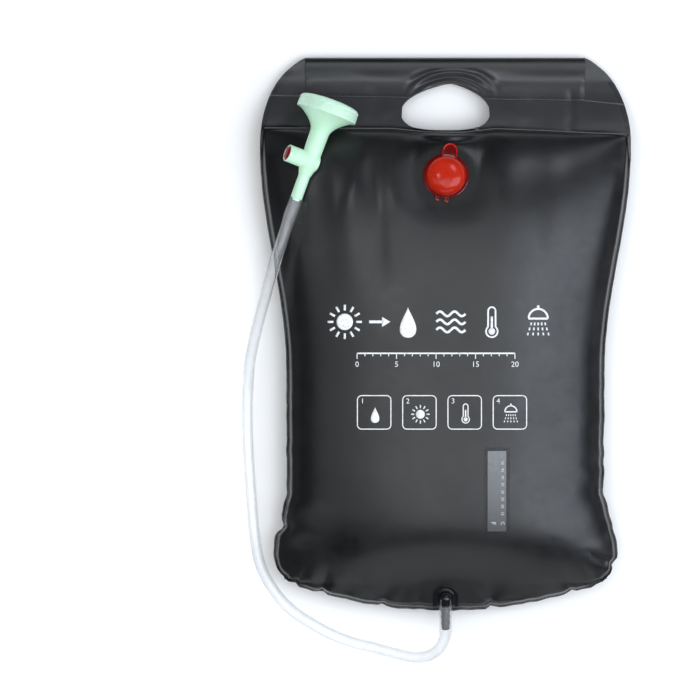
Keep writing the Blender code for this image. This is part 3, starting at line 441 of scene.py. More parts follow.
hose_mesh = hollow_tube("clear_hose", hose_line, hose_radii(hose_line), HOSE_WALL, HOSE_SIDES)
hose = add_piece("clear_hose", hose_mesh, clear_pvc)
hose.visible_shadow = False
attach(hose, "bag")
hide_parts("hose")
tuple(over_nozzle[0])
print("hose faces", len(hose.data.polygons))

# %% [markdown]
# ## The film and its finish
#
# The bag is two sheets of black PVC film, about half a millimetre thick, welded together round the
# edge. The film has a soft satin gloss, a fine pressed grain and faint handling marks. Where the
# welding tool pressed it, it is a little glossier and lies flat. The meshes of the film carry an
# attribute called weld, from 0 on plain film to 1 on a weld, and the material reads it. That way
# one material serves every film piece, and the gloss ends exactly where the weld does. A second
# attribute marks where light is painted into the film's colour: the header is painted a lighter
# grey for the light on its flat, slack film, while the top of the rod loop keeps the dark tone as
# painted shade where it curves away. Fine beads of film that the welding bar squeezed out get a
# lighter grey still, partly the whitening of a weld and partly a painted highlight.

# %% Black film material
def scaled(material, source, factor, plus, **settings):
    """A texture's value times a factor, plus a number or the value of such a node."""
    node = add_node(material, "ShaderNodeMath", operation="MULTIPLY_ADD", **settings)
    link(material, source, "Fac", node, 0)
    node.inputs[1].default_value = factor
    if isinstance(plus, float):
        node.inputs[2].default_value = plus
    else:
        link(material, plus, "Value", node, 2)
    return node


def film_material(name, painted_light_tone):
    film = principled(name, Base_Color=(0.018, 0.018, 0.020), Roughness=0.36,
                      Specular_IOR_Level=0.5, Coat_Weight=0.12, Coat_Roughness=0.22)
    place = add_node(film, "ShaderNodeTexCoord")
    weld = add_node(film, "ShaderNodeAttribute", attribute_name="weld")
    painted_header_light = add_node(film, "ShaderNodeAttribute", attribute_name="painted_header_light")
    clouds = noise(film, place, Scale=14.0, Detail=5.0, Roughness=0.6)
    rubs = noise(film, place, Scale=90.0, Detail=6.0, Roughness=0.7)
    gloss = scaled(film, clouds, 0.35, scaled(film, rubs, 0.20, 0.08))
    gloss = scaled(film, weld, -0.12, gloss, use_clamp=True)
    link(film, gloss, "Value", shader_of(film), "Roughness")
    dust = two_tones(film, clouds, "Fac", (0.0062, 0.0062, 0.0070), (0.0100, 0.0100, 0.0116),
                     0.35, 0.75)
    # Painted light: where the attribute says, the base tone is mixed towards the lighter header
    # tone, for the light on the flat header film.
    tint(film, dust, painted_header_light, "Fac", painted_light_tone)
    ripple = noise(film, place, Scale=55.0, Detail=3.0)
    grain = noise(film, place, "ShaderNodeTexVoronoi", Scale=2200.0)
    wide = relief(film, ripple, "Fac", 0.20, 0.0006)
    relief(film, grain, "Distance", 0.06, 0.00006, under=wide)
    return film


# The second tone is painted light: on the header it is lighter for the light on its flat film.
black_film = film_material("black_film", (0.031, 0.031, 0.034))
# On the weld beads the second tone is lighter still: partly a whitened weld, partly a painted
# highlight.
pressed_film_painted_highlight = film_material("pressed_film_painted_highlight", (0.075, 0.076, 0.080))
print("film finishes:", black_film.name, pressed_film_painted_highlight.name)

# %% [markdown]
# ## Outline of the bag
#
# Filled with water, a flat bag draws in at the waist, so the outline is wide at the shoulders,
# narrow at the waist and round at the hips. The outline is written as half widths at heights along
# the bag, in smooth pieces, with the same sizes as in the construction model. NumPy arrays go
# through these functions in one call, because the fine mesh has tens of thousands of points.

# %% Outline sizes
FILM = 0.0006
GAP = 0.0003
SHOULDER_HALF_WIDTH = 0.2005
WAIST_HALF_WIDTH = 0.1720
HIP_HALF_WIDTH = 0.1865
SHOULDER_Y = 0.205
WAIST_TOP_Y = -0.040
WAIST_BOTTOM_Y = -0.160
HIP_Y = -0.238
BOTTOM_Y = -0.299
BOTTOM_RISE = 0.024
HIP_RADIUS = 0.030
HEADER_TOP_Y = 0.2975
HEADER_SIDE_SHARE = 0.80
SHOULDER_ARC_WIDTH = 0.056
WELD_WIDTH = 0.005
SEAL_Y = 0.2146
HIP_FLAT = HIP_HALF_WIDTH - HIP_RADIUS


def between(y, start, end):
    """0 at the start, 1 at the end, even between them."""
    return np.clip((y - start) / (end - start), 0, 1)


def swing(share):
    return (1 - np.cos(pi * share)) / 2


def half_width(y):
    """Half width of the film at heights along the bag."""
    y = np.asarray(y, float)
    rise = between(y, SHOULDER_Y, HEADER_TOP_Y)
    shoulder = SHOULDER_HALF_WIDTH - SHOULDER_ARC_WIDTH * (1 - np.sqrt(1 - rise ** 2))
    up = swing(between(y, WAIST_TOP_Y, SHOULDER_Y))
    flank = WAIST_HALF_WIDTH + (SHOULDER_HALF_WIDTH - WAIST_HALF_WIDTH) * up
    down = swing(between(y, WAIST_BOTTOM_Y, HIP_Y))
    hip = WAIST_HALF_WIDTH + (HIP_HALF_WIDTH - WAIST_HALF_WIDTH) * down
    drop = np.clip((HIP_Y - y) / HIP_RADIUS, 0, 1)
    corner = HIP_HALF_WIDTH - HIP_RADIUS * (1 - np.sqrt(1 - drop ** 2))
    above = [y > SHOULDER_Y, y > WAIST_TOP_Y, y > HIP_Y]
    return np.select(above, [shoulder, flank, hip], corner)


def bottom_y(x):
    return BOTTOM_Y + BOTTOM_RISE * (np.asarray(x, float) / HIP_FLAT) ** 2


print("half width at the waist", float(half_width(WAIST_TOP_Y)))


# %% The four edges of the chamber and of the header
CORNER_DROP = HIP_Y - (BOTTOM_Y + BOTTOM_RISE)
CORNER_X = HIP_FLAT + HIP_RADIUS * cos(pi / 4)
CORNER_Y = HIP_Y - CORNER_DROP * sin(pi / 4)
SIDE_END_Y = SHOULDER_Y + (HEADER_TOP_Y - SHOULDER_Y) * HEADER_SIDE_SHARE
SLEEVE_HALF = 0.1490
SLEEVE_STEP = 0.0008
SLEEVE_CORNER = 0.0030
SLEEVE_CORNER_FADE = 0.020
NOTCH_Y = 0.2890
ARC_FLAT = SHOULDER_HALF_WIDTH - SHOULDER_ARC_WIDTH
SEAL_SOFTENING = 0.004

# The seal rises to the left, and dips under the hand hole.
SEAL_LINE = np.array([
    (-0.2010, 0.2222), (-0.1200, 0.2218), (-0.0560, 0.2216), (-0.0380, 0.2196), (-0.0150, 0.2174),
    (0.0170, 0.2172), (0.0380, 0.2196), (0.0540, 0.2214), (0.1020, 0.2196), (0.1600, 0.2166),
    (0.2010, 0.2152)])


def points_of(x, y):
    return np.stack(np.broadcast_arrays(np.asarray(x, float), np.asarray(y, float)), axis=-1)


def seal_y(x):
    """Height along the bag of the seal between chamber and header."""
    spread = np.linspace(-SEAL_SOFTENING, SEAL_SOFTENING, 5)
    return sum(np.interp(np.asarray(x, float) + d, *SEAL_LINE.T) for d in spread) / len(spread)


SEAL_ENDS = {side: float(seal_y(side * SHOULDER_HALF_WIDTH)) for side in (-1, 1)}


def chamber_bottom(t):
    x = CORNER_X * (2 * np.asarray(t, float) - 1)
    angle = np.arccos(np.clip((np.abs(x) - HIP_FLAT) / HIP_RADIUS, -1, 1))
    y = np.where(np.abs(x) <= HIP_FLAT, bottom_y(x), HIP_Y - CORNER_DROP * np.sin(angle))
    return points_of(x, y)


def side_edge(side, start, end):
    """The edge of the bag on one side between two heights, as a curve from 0 to 1."""
    def curve(t):
        y = start + (end - start) * np.asarray(t, float)
        return points_of(side * half_width(y), y)
    return curve


def chamber_side(side):
    return side_edge(side, CORNER_Y, SEAL_ENDS[side])


def header_side(side):
    return side_edge(side, SEAL_ENDS[side], SIDE_END_Y)


def header_top(t):
    """Along the top the film stops under the rod, and beside the hem it follows the shoulder."""
    x = float(half_width(SIDE_END_Y)) * (2 * np.asarray(t, float) - 1)
    over = np.clip((np.abs(x) - ARC_FLAT) / SHOULDER_ARC_WIDTH, 0, 1)
    arc_y = SHOULDER_Y + (HEADER_TOP_Y - SHOULDER_Y) * np.sqrt(1 - over ** 2)
    beside = np.clip((np.abs(x) - SLEEVE_HALF) / SLEEVE_STEP, 0, 1)
    corner = arc_y + SLEEVE_CORNER * (1 - ease((np.abs(x) - SLEEVE_HALF) / SLEEVE_CORNER_FADE))
    return points_of(x, NOTCH_Y + (corner - NOTCH_Y) * beside)


def blend_edges(bottom, top, left, right, u, v):
    """Points inside four edge curves that meet at corners, rows along v and columns along u."""
    across = u[None, :, None]
    along = v[:, None, None]
    b0, b1, t0, t1 = (f(np.array([s]))[0] for f in (bottom, top) for s in (0.0, 1.0))
    corners = ((1 - across) * (1 - along) * b0 + across * (1 - along) * b1
               + (1 - across) * along * t0 + across * along * t1)
    return ((1 - along) * bottom(u)[None] + along * top(u)[None]
            + (1 - across) * left(v)[:, None] + across * right(v)[:, None] - corners)


print("corner of the hip at", round(CORNER_X, 4), round(CORNER_Y, 4))


# %% Distance from the edge
def outline_loop(step):
    """The whole edge of the bag as points, from the middle of the bottom round to the left."""
    right = np.concatenate([
        chamber_bottom(np.linspace(0.5, 1.0, 400)), chamber_side(1)(np.linspace(0, 1, 1200))[1:],
        header_side(1)(np.linspace(0, 1, 200))[1:], header_top(np.linspace(1, 0.5, 500))[1:]])
    length = run_along(right)[-1]
    goals = np.linspace(0, length, int(length / step))
    half = even_points(right, goals)
    left = half[::-1][1:-1] * np.array([-1.0, 1.0])
    return np.concatenate([half, left]), goals[1]


OUTLINE, OUTLINE_STEP = outline_loop(0.001)
OUTLINE_LENGTH = OUTLINE_STEP * len(OUTLINE)
outline_tree = KDTree(len(OUTLINE))
for i, (x, y) in enumerate(OUTLINE):
    outline_tree.insert((x, y, 0.0), i)
outline_tree.balance()


def edge_measure(x, y):
    """For each point: its distance from the edge, and how far round the edge it lies."""
    near = np.empty(x.shape)
    place = np.empty(x.shape)
    flat_near, flat_place = near.ravel(), place.ravel()
    for k, (px, py) in enumerate(zip(x.ravel(), y.ravel())):
        _, i, distance = outline_tree.find((px, py, 0.0))
        flat_near[k] = distance
        flat_place[k] = i * OUTLINE_STEP
    return near, place


print(f"edge of the bag: {OUTLINE_LENGTH:.3f} m round")

# %% [markdown]
# ## Height of the film
#
# Water pushes the two films apart. Close to a weld the film rises steeply, then it levels out
# towards the middle, and where it meets the floor or a fitting it is pressed flat. These height
# functions repeat the construction model, with three finer things that the photograph shows: along
# the sides and the bottom the film stands up from its weld in a short wall, goes on in an even
# shoulder, and the outlet sits in a wide trough. The seats of the two fittings blend softly in.

# %% Heights of the plain bag
WELD_Z = 0.030
SWELL = 0.042
SWELL_REACH = 0.150
SWELL_ROUND = 2.3
SWELL_STEEP = 0.56
ROD_Y = 0.2944
ROD_Z = 0.0095
ROD_RADIUS = 0.0045
ROD_SLACK = 0.0006
SLEEVE_Y = 0.2769
FILLER_Y = 0.1703
FILLER_TILT = radians(10)
FILLER_SEAT = 0.030
FILLER_BLEND = 0.034
OUTLET_Y = -0.2835
OUTLET_RISE = 0.0052
OUTLET_SEAT = 0.0165
OUTLET_FADE = 0.034
OUTLET_WIDER = 2.4
SHOULDER_SHARE = 0.080
SHOULDER_SLOPE = 2.86
WALL_SHARE = 0.0045
SEEN_WELD = 0.0036
WALL_POWER = 1.3
WELD_EDGE_SHARE = 0.4


def swell(share):
    share = np.clip(share, 0.0, 1.0)
    return (1 - (1 - share) ** SWELL_ROUND) ** SWELL_STEEP


def swell_sides(share):
    """As swell, with a short upright wall at the weld and an even shoulder above it."""
    share = np.clip(share, 0.0, 1.0)
    even = swell(SHOULDER_SHARE) - SHOULDER_SLOPE * (SHOULDER_SHARE - share)
    wall = 1 - np.exp(-(share / WALL_SHARE) ** WALL_POWER)
    return np.where(share < SHOULDER_SHARE, even * wall, swell(share))


def fullness(x, y):
    """How far the water pushes the films apart, from 0 at a weld to 1 in the middle."""
    side = half_width(y) - SEEN_WELD - np.abs(x)
    from_bottom, from_seal = y - bottom_y(x), seal_y(x) - y
    ends = np.minimum(from_bottom - SEEN_WELD, from_seal) / SWELL_REACH
    along = np.where(from_bottom < from_seal, swell_sides(ends), swell(ends))
    return swell_sides(side / SWELL_REACH) * along


def weld_plane(y):
    return WELD_Z - (WELD_Z - ROD_Z) * ease((y - SEAL_Y) / (SLEEVE_Y - SEAL_Y))


def seat_share(x, y, centre_y, half, blend):
    return 1 - ease((np.hypot(x, y - centre_y) - half) / blend)


def free_front(x, y):
    return weld_plane(y) + GAP / 2 + FILM + SWELL * fullness(x, y)


def outlet_share(x, y):
    """The seat of the outlet, in a wide shallow trough that fades out like a bell."""
    reach = np.hypot(x / OUTLET_WIDER, y - OUTLET_Y)
    bell = np.exp(-(np.maximum(reach - OUTLET_SEAT, 0.0) / OUTLET_FADE) ** 2)
    return np.where(np.hypot(x, y - OUTLET_Y) < OUTLET_SEAT, 1.0, bell)


FILLER_HEIGHT = WELD_Z + GAP / 2 + FILM + SWELL * float(swell((SEAL_Y - FILLER_Y) / SWELL_REACH))
OUTLET_HEIGHT = WELD_Z + GAP / 2 + FILM + OUTLET_RISE


def front_height(x, y):
    """Outer face of the smooth front film."""
    height = free_front(x, y)
    share = seat_share(x, y, FILLER_Y, FILLER_SEAT, FILLER_BLEND)
    height = height + (FILLER_HEIGHT - tan(FILLER_TILT) * (y - FILLER_Y) - height) * share
    share = outlet_share(x, y) * ease((y - bottom_y(x)) / WELD_WIDTH - WELD_EDGE_SHARE)
    return height + (OUTLET_HEIGHT + tan(OUTLET_TILT) * (y - OUTLET_Y) - height) * share


def back_height(x, y):
    return np.maximum(weld_plane(y) - GAP / 2 - FILM - SWELL * fullness(x, y), 0.0)


print(f"filler seat at {FILLER_HEIGHT:.4f} m, outlet seat at {OUTLET_HEIGHT:.4f} m")

# %% [markdown]
# ## Folds
#
# A flat film that is filled has too much length along its edges, so it gathers there: each small
# notch in the edge is the start of a fold that fans out and fades on its way inwards. The header
# has no water in it and shows longer creases, and the pull of the hand hole draws arches and a lip
# round it. A cloth simulation makes such folds at random places. Here they are placed where
# the photograph shows them, as creases: a path over the bag, with a width and a height. A crease
# is a soft ridge or valley across its path and fades at both ends.

# %% Creases
CREASE_FADE = 0.35


def photo_place(px, py):
    """The place on the bag of a pixel of the photograph, looked at from straight above."""
    return (px - BAG_MIDDLE_PIXEL[0]) * PIXEL, (BAG_MIDDLE_PIXEL[1] - py) * PIXEL


def rounded(points, passes=3):
    """Cut the corners of a path until it runs smoothly; its ends stay."""
    for _ in range(passes):
        a, b = points[:-1], points[1:]
        inner = np.stack([0.75 * a + 0.25 * b, 0.25 * a + 0.75 * b], axis=1).reshape(-1, 2)
        points = np.concatenate([points[:1], inner[1:-1], points[-1:]])
    return points


def beside_leg(x, y, a, b):
    """Distance from a straight stretch between two places, and how far along it that is."""
    leg = b - a
    length = np.linalg.norm(leg)
    t = np.clip(((x - a[0]) * leg[0] + (y - a[1]) * leg[1]) / length ** 2, 0, 1)
    return np.hypot(x - a[0] - t * leg[0], y - a[1] - t * leg[1]), t * length


def crease(x, y, path, width, height):
    """Height of one crease: a ridge (or a valley) along a path of photograph pixels."""
    points = rounded(np.array([photo_place(*p) for p in path]))
    runs = run_along(points)
    best = np.full(x.shape, 1e9)
    share = np.zeros(x.shape)
    for a, b, start in zip(points, points[1:], runs):
        away, along = beside_leg(x, y, a, b)
        share = np.where(away < best, (start + along) / runs[-1], share)
        best = np.minimum(best, away)
    ends = ease(share / CREASE_FADE) * ease((1 - share) / CREASE_FADE)
    return height * np.exp(-(best / width) ** 2) * ends


def creased(x, y, creases):
    return sum(crease(x, y, *one) for one in creases)


# Path in pixels, width and height. The first five run round the hand hole.
HEADER_CREASES = [
    ([(405, 99), (412, 86), (430, 75), (452, 70), (474, 74), (490, 85), (498, 99)],
     0.0021, 0.0022),
    ([(409, 97), (418, 86), (434, 79), (452, 75.5), (470, 78), (484, 86), (492, 97)],
     0.0013, -0.0015),
    ([(402, 96), (410, 81), (430, 70), (452, 65.5), (476, 69), (494, 81), (502, 95)],
     0.0020, -0.0022),
    ([(398, 92), (408, 76), (430, 65), (452, 61.5), (478, 65), (499, 78), (506, 91)],
     0.0022, 0.0014),
    ([(413, 98), (424, 87), (438, 82), (452, 79.5), (468, 83), (480, 90), (488, 99)],
     0.0012, 0.0014),
    ([(571, 84), (572, 110), (570, 136)], 0.0034, -0.0013),
    ([(322, 82), (328, 90), (332, 100)], 0.0040, -0.0010),
    ([(296, 100), (318, 112), (352, 117)], 0.0060, 0.0008),
    ([(520, 96), (540, 108), (556, 126)], 0.0080, -0.0005),
    ([(398, 104), (384, 112), (372, 126)], 0.0070, 0.0006),
    ([(500, 106), (514, 112), (528, 126)], 0.0070, 0.0006),
    ([(412, 131), (426, 135), (446, 137.5), (466, 136.5), (484, 132)], 0.0016, 0.0018),
    ([(408, 133), (424, 139), (446, 142), (468, 140.5), (488, 134)], 0.0020, -0.0022),
]

FRONT_CREASES = [
    ([(352, 128), (352, 180), (348, 240), (346, 300)], 0.016, 0.0012),
    ([(375, 124), (375, 165), (377, 225), (381, 310)], 0.012, -0.0020),
    ([(400, 126), (402, 172), (406, 240)], 0.014, 0.0008),
    ([(418, 134), (420, 158), (424, 190)], 0.009, -0.0010),
    ([(488, 130), (481, 158), (470, 196)], 0.010, -0.0012),
    ([(510, 120), (508, 180), (502, 290)], 0.014, 0.0008),
    ([(534, 118), (536, 190), (540, 290)], 0.015, -0.0006),
    ([(562, 120), (564, 190), (562, 300)], 0.016, 0.0006),
    ([(312, 126), (320, 180), (328, 250), (332, 320)], 0.014, -0.0009),
    ([(286, 134), (296, 200), (306, 290)], 0.012, 0.0008),
]

print(len(HEADER_CREASES) + len(FRONT_CREASES), "creases")

# %% Notches in the edge
# Where the edge is drawn in: pixel, depth, width along the edge, and how far the fold runs in.
EDGE_NOTCHES = [
    ((285, 527), 0.0062, 0.0066, 0.026),
    ((287, 494), 0.0010, 0.0060, 0.030),
    ((281, 560), 0.0006, 0.0070, 0.022),
    ((293, 587), 0.0040, 0.0042, 0.022),
    ((321, 595), 0.0036, 0.0036, 0.026),
    ((346, 603), 0.0010, 0.0045, 0.022),
    ((383, 606), 0.0030, 0.0036, 0.024),
    ((420, 611), 0.0014, 0.0045, 0.020),
    ((492, 608), 0.0036, 0.0038, 0.026),
    ((530, 606), 0.0008, 0.0050, 0.026),
    ((572, 596), 0.0040, 0.0040, 0.024),
    ((598, 588), 0.0010, 0.0050, 0.024),
    ((612, 563), 0.0040, 0.0052, 0.030),
    ((612, 530), 0.0010, 0.0055, 0.028),
    ((606, 492), 0.0024, 0.0060, 0.034),
    ((608, 462), 0.0010, 0.0055, 0.026),
    ((610, 440), 0.0012, 0.0070, 0.030),
]
NOTCH_FAN = 0.22
NOTCH_REACH = 0.012
NOTCH_RIDGE_PLACE = 1.9
NOTCH_RIDGE = 0.25
NOTCH_VALLEY = 0.6
DEEPEST_FOLD = 0.0035


def waver(place, spans, seed):
    """A smooth uneven wave round the edge, between about -1 and 1."""
    total = np.zeros(np.shape(place))
    for k, span in enumerate(spans):
        turns = max(1, round(OUTLINE_LENGTH / span))
        total = total + np.sin(2 * pi * turns * place / OUTLINE_LENGTH + seed * (k + 1.7))
    return total / len(spans)


def gather_share(y):
    """How much the edge gathers: most at the hips and the bottom, little at the header."""
    low = ease((0.02 - y) / 0.20)
    return (0.25 + 0.75 * low) * ease((SEAL_Y + 0.02 - y) / 0.05)


def notch_measure(near, place):
    """Sum of the notch folds: how far the edge moves in, and the height of the folds behind."""
    pull = np.zeros(near.shape)
    fold = np.zeros(near.shape)
    half = OUTLINE_LENGTH / 2
    for pixel, depth, width, reach in EDGE_NOTCHES:
        _, i, _ = outline_tree.find((*photo_place(*pixel), 0.0))
        along = (place - i * OUTLINE_STEP + half) % OUTLINE_LENGTH - half
        spread = width + NOTCH_FAN * near
        valley = np.exp(-(along / spread) ** 2)
        sides = np.exp(-((np.abs(along) - NOTCH_RIDGE_PLACE * spread) / spread) ** 2)
        pull += depth * np.exp(-(along / width) ** 2) * np.exp(-near / NOTCH_REACH)
        fade = np.exp(-(near / reach) ** 1.5) * ease((near - 0.6 * WELD_WIDTH) / 0.010)
        fold += min(depth, DEEPEST_FOLD) * (NOTCH_RIDGE * sides - NOTCH_VALLEY * valley) * fade
    return pull, fold


print(len(EDGE_NOTCHES), "notches")

# %% Folds of both films
EDGE_ROLL = 0.0040
EDGE_ROLL_REACH = 0.0060
HEADER_SWAY = 0.0012
WELD_WAVE = 0.0016
WELD_WAVE_REACH = 0.010
HEAD_TOP, HEAD_HEEL = (np.array(end[:2]) for end in (HEAD_PLACE, HEAD_PLACE - spray * STEM_END))
HEAD_COVER = 0.038
HEAD_COVER_FADE = 0.018
HEAD_PRESS = 0.8
FILLER_FLAT = 0.0290
FILLER_FLAT_FADE = 0.014
OUTLET_FLAT = OUTLET_SEAT + 0.001
OUTLET_FLAT_FADE = 0.012


def header_shift(x, y, near, place):
    """Common height of the whole welded stack, for header, welds and hem alike."""
    total = creased(x, y, HEADER_CREASES)
    sway = HEADER_SWAY * np.sin(x / 0.031 + 0.8) * np.cos((y - 0.25) / 0.035)
    total += sway * ease((y - seal_y(x)) / 0.012) * ease((ROD_Y - ROD_RADIUS - y) / 0.012)
    wave = waver(place, (0.034, 0.052, 0.081), 0.9)
    total += WELD_WAVE * wave * np.exp(-near / WELD_WAVE_REACH) * gather_share(y)
    roll = EDGE_ROLL * (1 - np.clip(near / EDGE_ROLL_REACH, 0, 1)) ** 1.5
    total -= roll * ease((seal_y(x) - 0.010 - y) / 0.030)
    return total * ease((ROD_Y - ROD_RADIUS - 0.001 - y) / 0.008)


def under_head(x, y):
    """1 where the shower head lies on the film, which then has no room to rise."""
    away, _ = beside_leg(x, y, HEAD_TOP, HEAD_HEEL)
    return 1 - ease((away - HEAD_COVER) / HEAD_COVER_FADE)


def fittings_share(x, y):
    """1 where a fitting lies on the film and presses its folds flat."""
    filler = seat_share(x, y, FILLER_Y, FILLER_FLAT, FILLER_FLAT_FADE)
    outlet = seat_share(x, y, OUTLET_Y, OUTLET_FLAT, OUTLET_FLAT_FADE)
    return np.maximum(filler, outlet)


def edge_ripple(y, near, place, height, spans, seed):
    """Small uneven folds that start inside the weld."""
    rise = ease((near - 0.8 * WELD_WIDTH) / 0.010) * np.exp(-((near / 0.030) ** 1.4))
    return height * waver(place, spans, seed) * rise * gather_share(y)


def front_folds(x, y, near, place):
    total = creased(x, y, FRONT_CREASES)
    total += notch_measure(near, place)[1]
    total += edge_ripple(y, near, place, 0.0004, (0.016, 0.023, 0.037), 2.3)
    broad = (np.sin(x / 0.047 + 1.1) * np.sin(y / 0.075 + 0.4)
             + 0.6 * np.sin(x / 0.029 - y / 0.09))
    return total + 0.0004 * broad * ease((near - 0.012) / 0.05)


def back_folds(y, near, place):
    fold = notch_measure(near, place)[1]
    return fold + edge_ripple(y, near, place, 0.0008, (0.018, 0.027, 0.041), 4.1)


print("the head presses the film flat up to", HEAD_COVER, "m beside its line")

# %% [markdown]
# ## Building a film
#
# A film is a structured grid, laid out as two patches that share the seal line: one over the water
# chamber and one over the header. A grid keeps the faces even and lets one function place every
# point. The hand hole is cut by opening a slit in one row of the header's grid and pulling its two
# lips apart to the hole's outline, so its edge is smooth. Round holes for the fittings lie hidden
# under them, so there the faces are taken out and the ring of points is pulled to a circle.

# %% Stations of the grid
HOLE_Y = 0.240
HOLE_HALF_WIDTH = 0.048
HOLE_RISE = 0.0320
HOLE_DROP = 0.0210
HOLE_PEAK_X = 0.0055
HEADER_ROW_AT_HOLE = (HOLE_Y - SEAL_Y) / (NOTCH_Y - SEAL_Y)
FRONT_STEP = 0.0028
FRONT_HEADER_STEP = 0.0017
BACK_STEP = 0.0050
BACK_FIRST = 0.002

# Distances from an edge, from the middle of the hand hole, and of the ends of the hem.
EDGE_PLACES = (0.0, 0.0012, 0.0025, 0.0038, 0.0047, 0.0054, 0.0062, 0.0072, 0.0084, 0.0100,
               0.0120, 0.0142)
SEAL_PLACES = (0.0, 0.0015, 0.003, 0.005, 0.0075, 0.0105)
HOLE_PLACES = (0.0, 0.0300, 0.0330, 0.0360, 0.0385, 0.0405, 0.0422, 0.0437, 0.0450, 0.0460,
               0.0468, 0.0474, 0.0478, 0.0480)
HEM_PLACES = (0.1484, 0.1489, 0.1493, 0.1499, 0.1520)


def merge_stations(values, least):
    """Sorted places with no two closer than the least step; the ends stay."""
    values = np.unique(np.round(values, 7))
    kept = [values[0]]
    for value in values[1:]:
        if value - kept[-1] >= least:
            kept.append(value)
    if kept[-1] != values[-1]:
        kept[-1] = values[-1]
    return np.array(kept)


def edge_stations(length, step, first):
    """Distances from an edge to the middle, fine over the weld and the steep roll."""
    places = [p for p in EDGE_PLACES if p == 0.0 or p >= first]
    rest = length - places[-1]
    count = int(ceil(rest / step))
    return np.array(places + [places[-1] + rest * k / count for k in range(1, count + 1)])


def across_shares(step, first):
    """Columns: fine at both edges, at the ends of the hand hole and at the ends of the hem."""
    from_edge = edge_stations(WAIST_HALF_WIDTH, step, first) / (2 * WAIST_HALF_WIDTH)
    side_y = SEAL_Y + (SIDE_END_Y - SEAL_Y) * HEADER_ROW_AT_HOLE
    ends = np.array(HOLE_PLACES) / (2 * float(half_width(side_y)))
    hem = np.array(HEM_PLACES) / (2 * float(half_width(SIDE_END_Y)))
    extra = np.concatenate([ends, hem])
    shares = np.concatenate([from_edge, 1 - from_edge, 0.5 + extra, 0.5 - extra])
    return merge_stations(shares, 0.08 * step / (2 * WAIST_HALF_WIDTH))


def along_shares(step, first):
    length = SEAL_Y - BOTTOM_Y
    low = edge_stations(length / 2, step, first) / length
    high = np.array(SEAL_PLACES) / length
    return merge_stations(np.concatenate([low, 1 - low[low > 0.02], 1 - high]), 0.0006 / length)


def header_shares(step):
    count_low = max(3, int(ceil((HOLE_Y - SEAL_Y) / step)))
    count_high = max(4, int(ceil((NOTCH_Y - HOLE_Y) / step)))
    low = np.linspace(0, HEADER_ROW_AT_HOLE, count_low + 1)
    high = np.linspace(HEADER_ROW_AT_HOLE, 1, count_high + 1)
    return np.concatenate([low, high[1:]]), count_low


print("columns", len(across_shares(FRONT_STEP, 0.0)), "rows", len(along_shares(FRONT_STEP, 0.0)))


# %% Plan of a film
def hole_edge_y(x, upper):
    """Edge of the hand hole over x; its upper edge peaks a little right of the middle."""
    if upper:
        peak = np.where(x > HOLE_PEAK_X, HOLE_HALF_WIDTH - HOLE_PEAK_X,
                        HOLE_HALF_WIDTH + HOLE_PEAK_X)
        s = np.clip(np.abs(x - HOLE_PEAK_X) / peak, 0, 1)
        return HOLE_Y + HOLE_RISE * (1 - s ** 1.2) ** 0.46
    s = np.clip(np.abs(x) / HOLE_HALF_WIDTH, 0, 1)
    return HOLE_Y - HOLE_DROP * (1 - s ** 2.4) ** 0.42


def film_places(across, along, header, hole_row):
    """Plan of the grid: rows of places, with the row at the hand hole given twice."""
    left, right = (side * float(half_width(SEAL_ENDS[side])) for side in (-1, 1))

    def seal(t):
        x = left + (right - left) * np.asarray(t, float)
        y = np.where(x > right - 1e-9, SEAL_ENDS[1], seal_y(x))
        return points_of(x, np.where(x < left + 1e-9, SEAL_ENDS[-1], y))
    chamber = blend_edges(chamber_bottom, seal, chamber_side(-1), chamber_side(1), across, along)
    top = blend_edges(seal, header_top, header_side(-1), header_side(1), across, header)
    row = top[hole_row]
    inside = np.abs(row[:, 0]) <= HOLE_HALF_WIDTH + 1e-6
    low = top[:hole_row + 1].copy()
    high = top[hole_row:].copy()
    for part, upper in ((low, False), (high, True)):
        opening = np.where(inside, hole_edge_y(row[:, 0], upper) - row[:, 1], 0.0)
        rows = len(part) - 1
        for j in range(rows + 1):
            share = j / rows if not upper else 1 - j / rows
            part[j, :, 1] += opening * share ** 1.3
    plan = np.concatenate([chamber, low[1:], high])
    return plan, len(chamber) + hole_row - 1, inside


def film_grid(plan, lip_row, inside):
    """Faces over the plan; the two lips share their points outside the hand hole."""
    rows, columns = plan.shape[:2]
    index = np.arange(rows * columns).reshape(rows, columns)
    tips = np.where(inside)[0][[0, -1]]
    for shared in (~inside, tips):
        index[lip_row + 1, shared] = index[lip_row, shared]
    faces = []
    for j in range(rows - 1):
        if j != lip_row:
            a, b = index[j], index[j + 1]
            faces += [(a[i], a[i + 1], b[i + 1], b[i]) for i in range(columns - 1)]
    return faces


def edge_shift(y, near, place):
    """Sideways move of the points by the edge: notches and a slight waver."""
    pull, _ = notch_measure(near, place)
    wave = waver(place, (0.019, 0.031, 0.047), 1.4)
    pull = pull + 0.0007 * (1 + wave) * np.exp(-near / NOTCH_REACH) * gather_share(y)
    count = len(OUTLINE)
    i = (np.round(place / OUTLINE_STEP).astype(int)) % count
    ahead = OUTLINE[(i + 2) % count] - OUTLINE[(i - 2) % count]
    normal = np.stack([-ahead[..., 1], ahead[..., 0]], axis=-1)
    normal /= np.linalg.norm(normal, axis=-1, keepdims=True)
    return normal * pull[..., None]


def round_hole(bm, centre, radius):
    """Take out the faces inside a circle and pull the ring round it onto the circle."""
    centre = Vector(centre)
    gone = [f for f in bm.faces if (f.calc_center_median().xy - centre).length < radius]
    ring = {v for f in gone for v in f.verts}
    bmesh.ops.delete(bm, geom=gone, context="FACES")
    for v in [v for v in ring if v.is_valid and v.link_faces]:
        away = v.co.xy - centre
        v.co.xy = centre + away.normalized() * radius


print("hand hole", 2 * HOLE_HALF_WIDTH, "m wide")


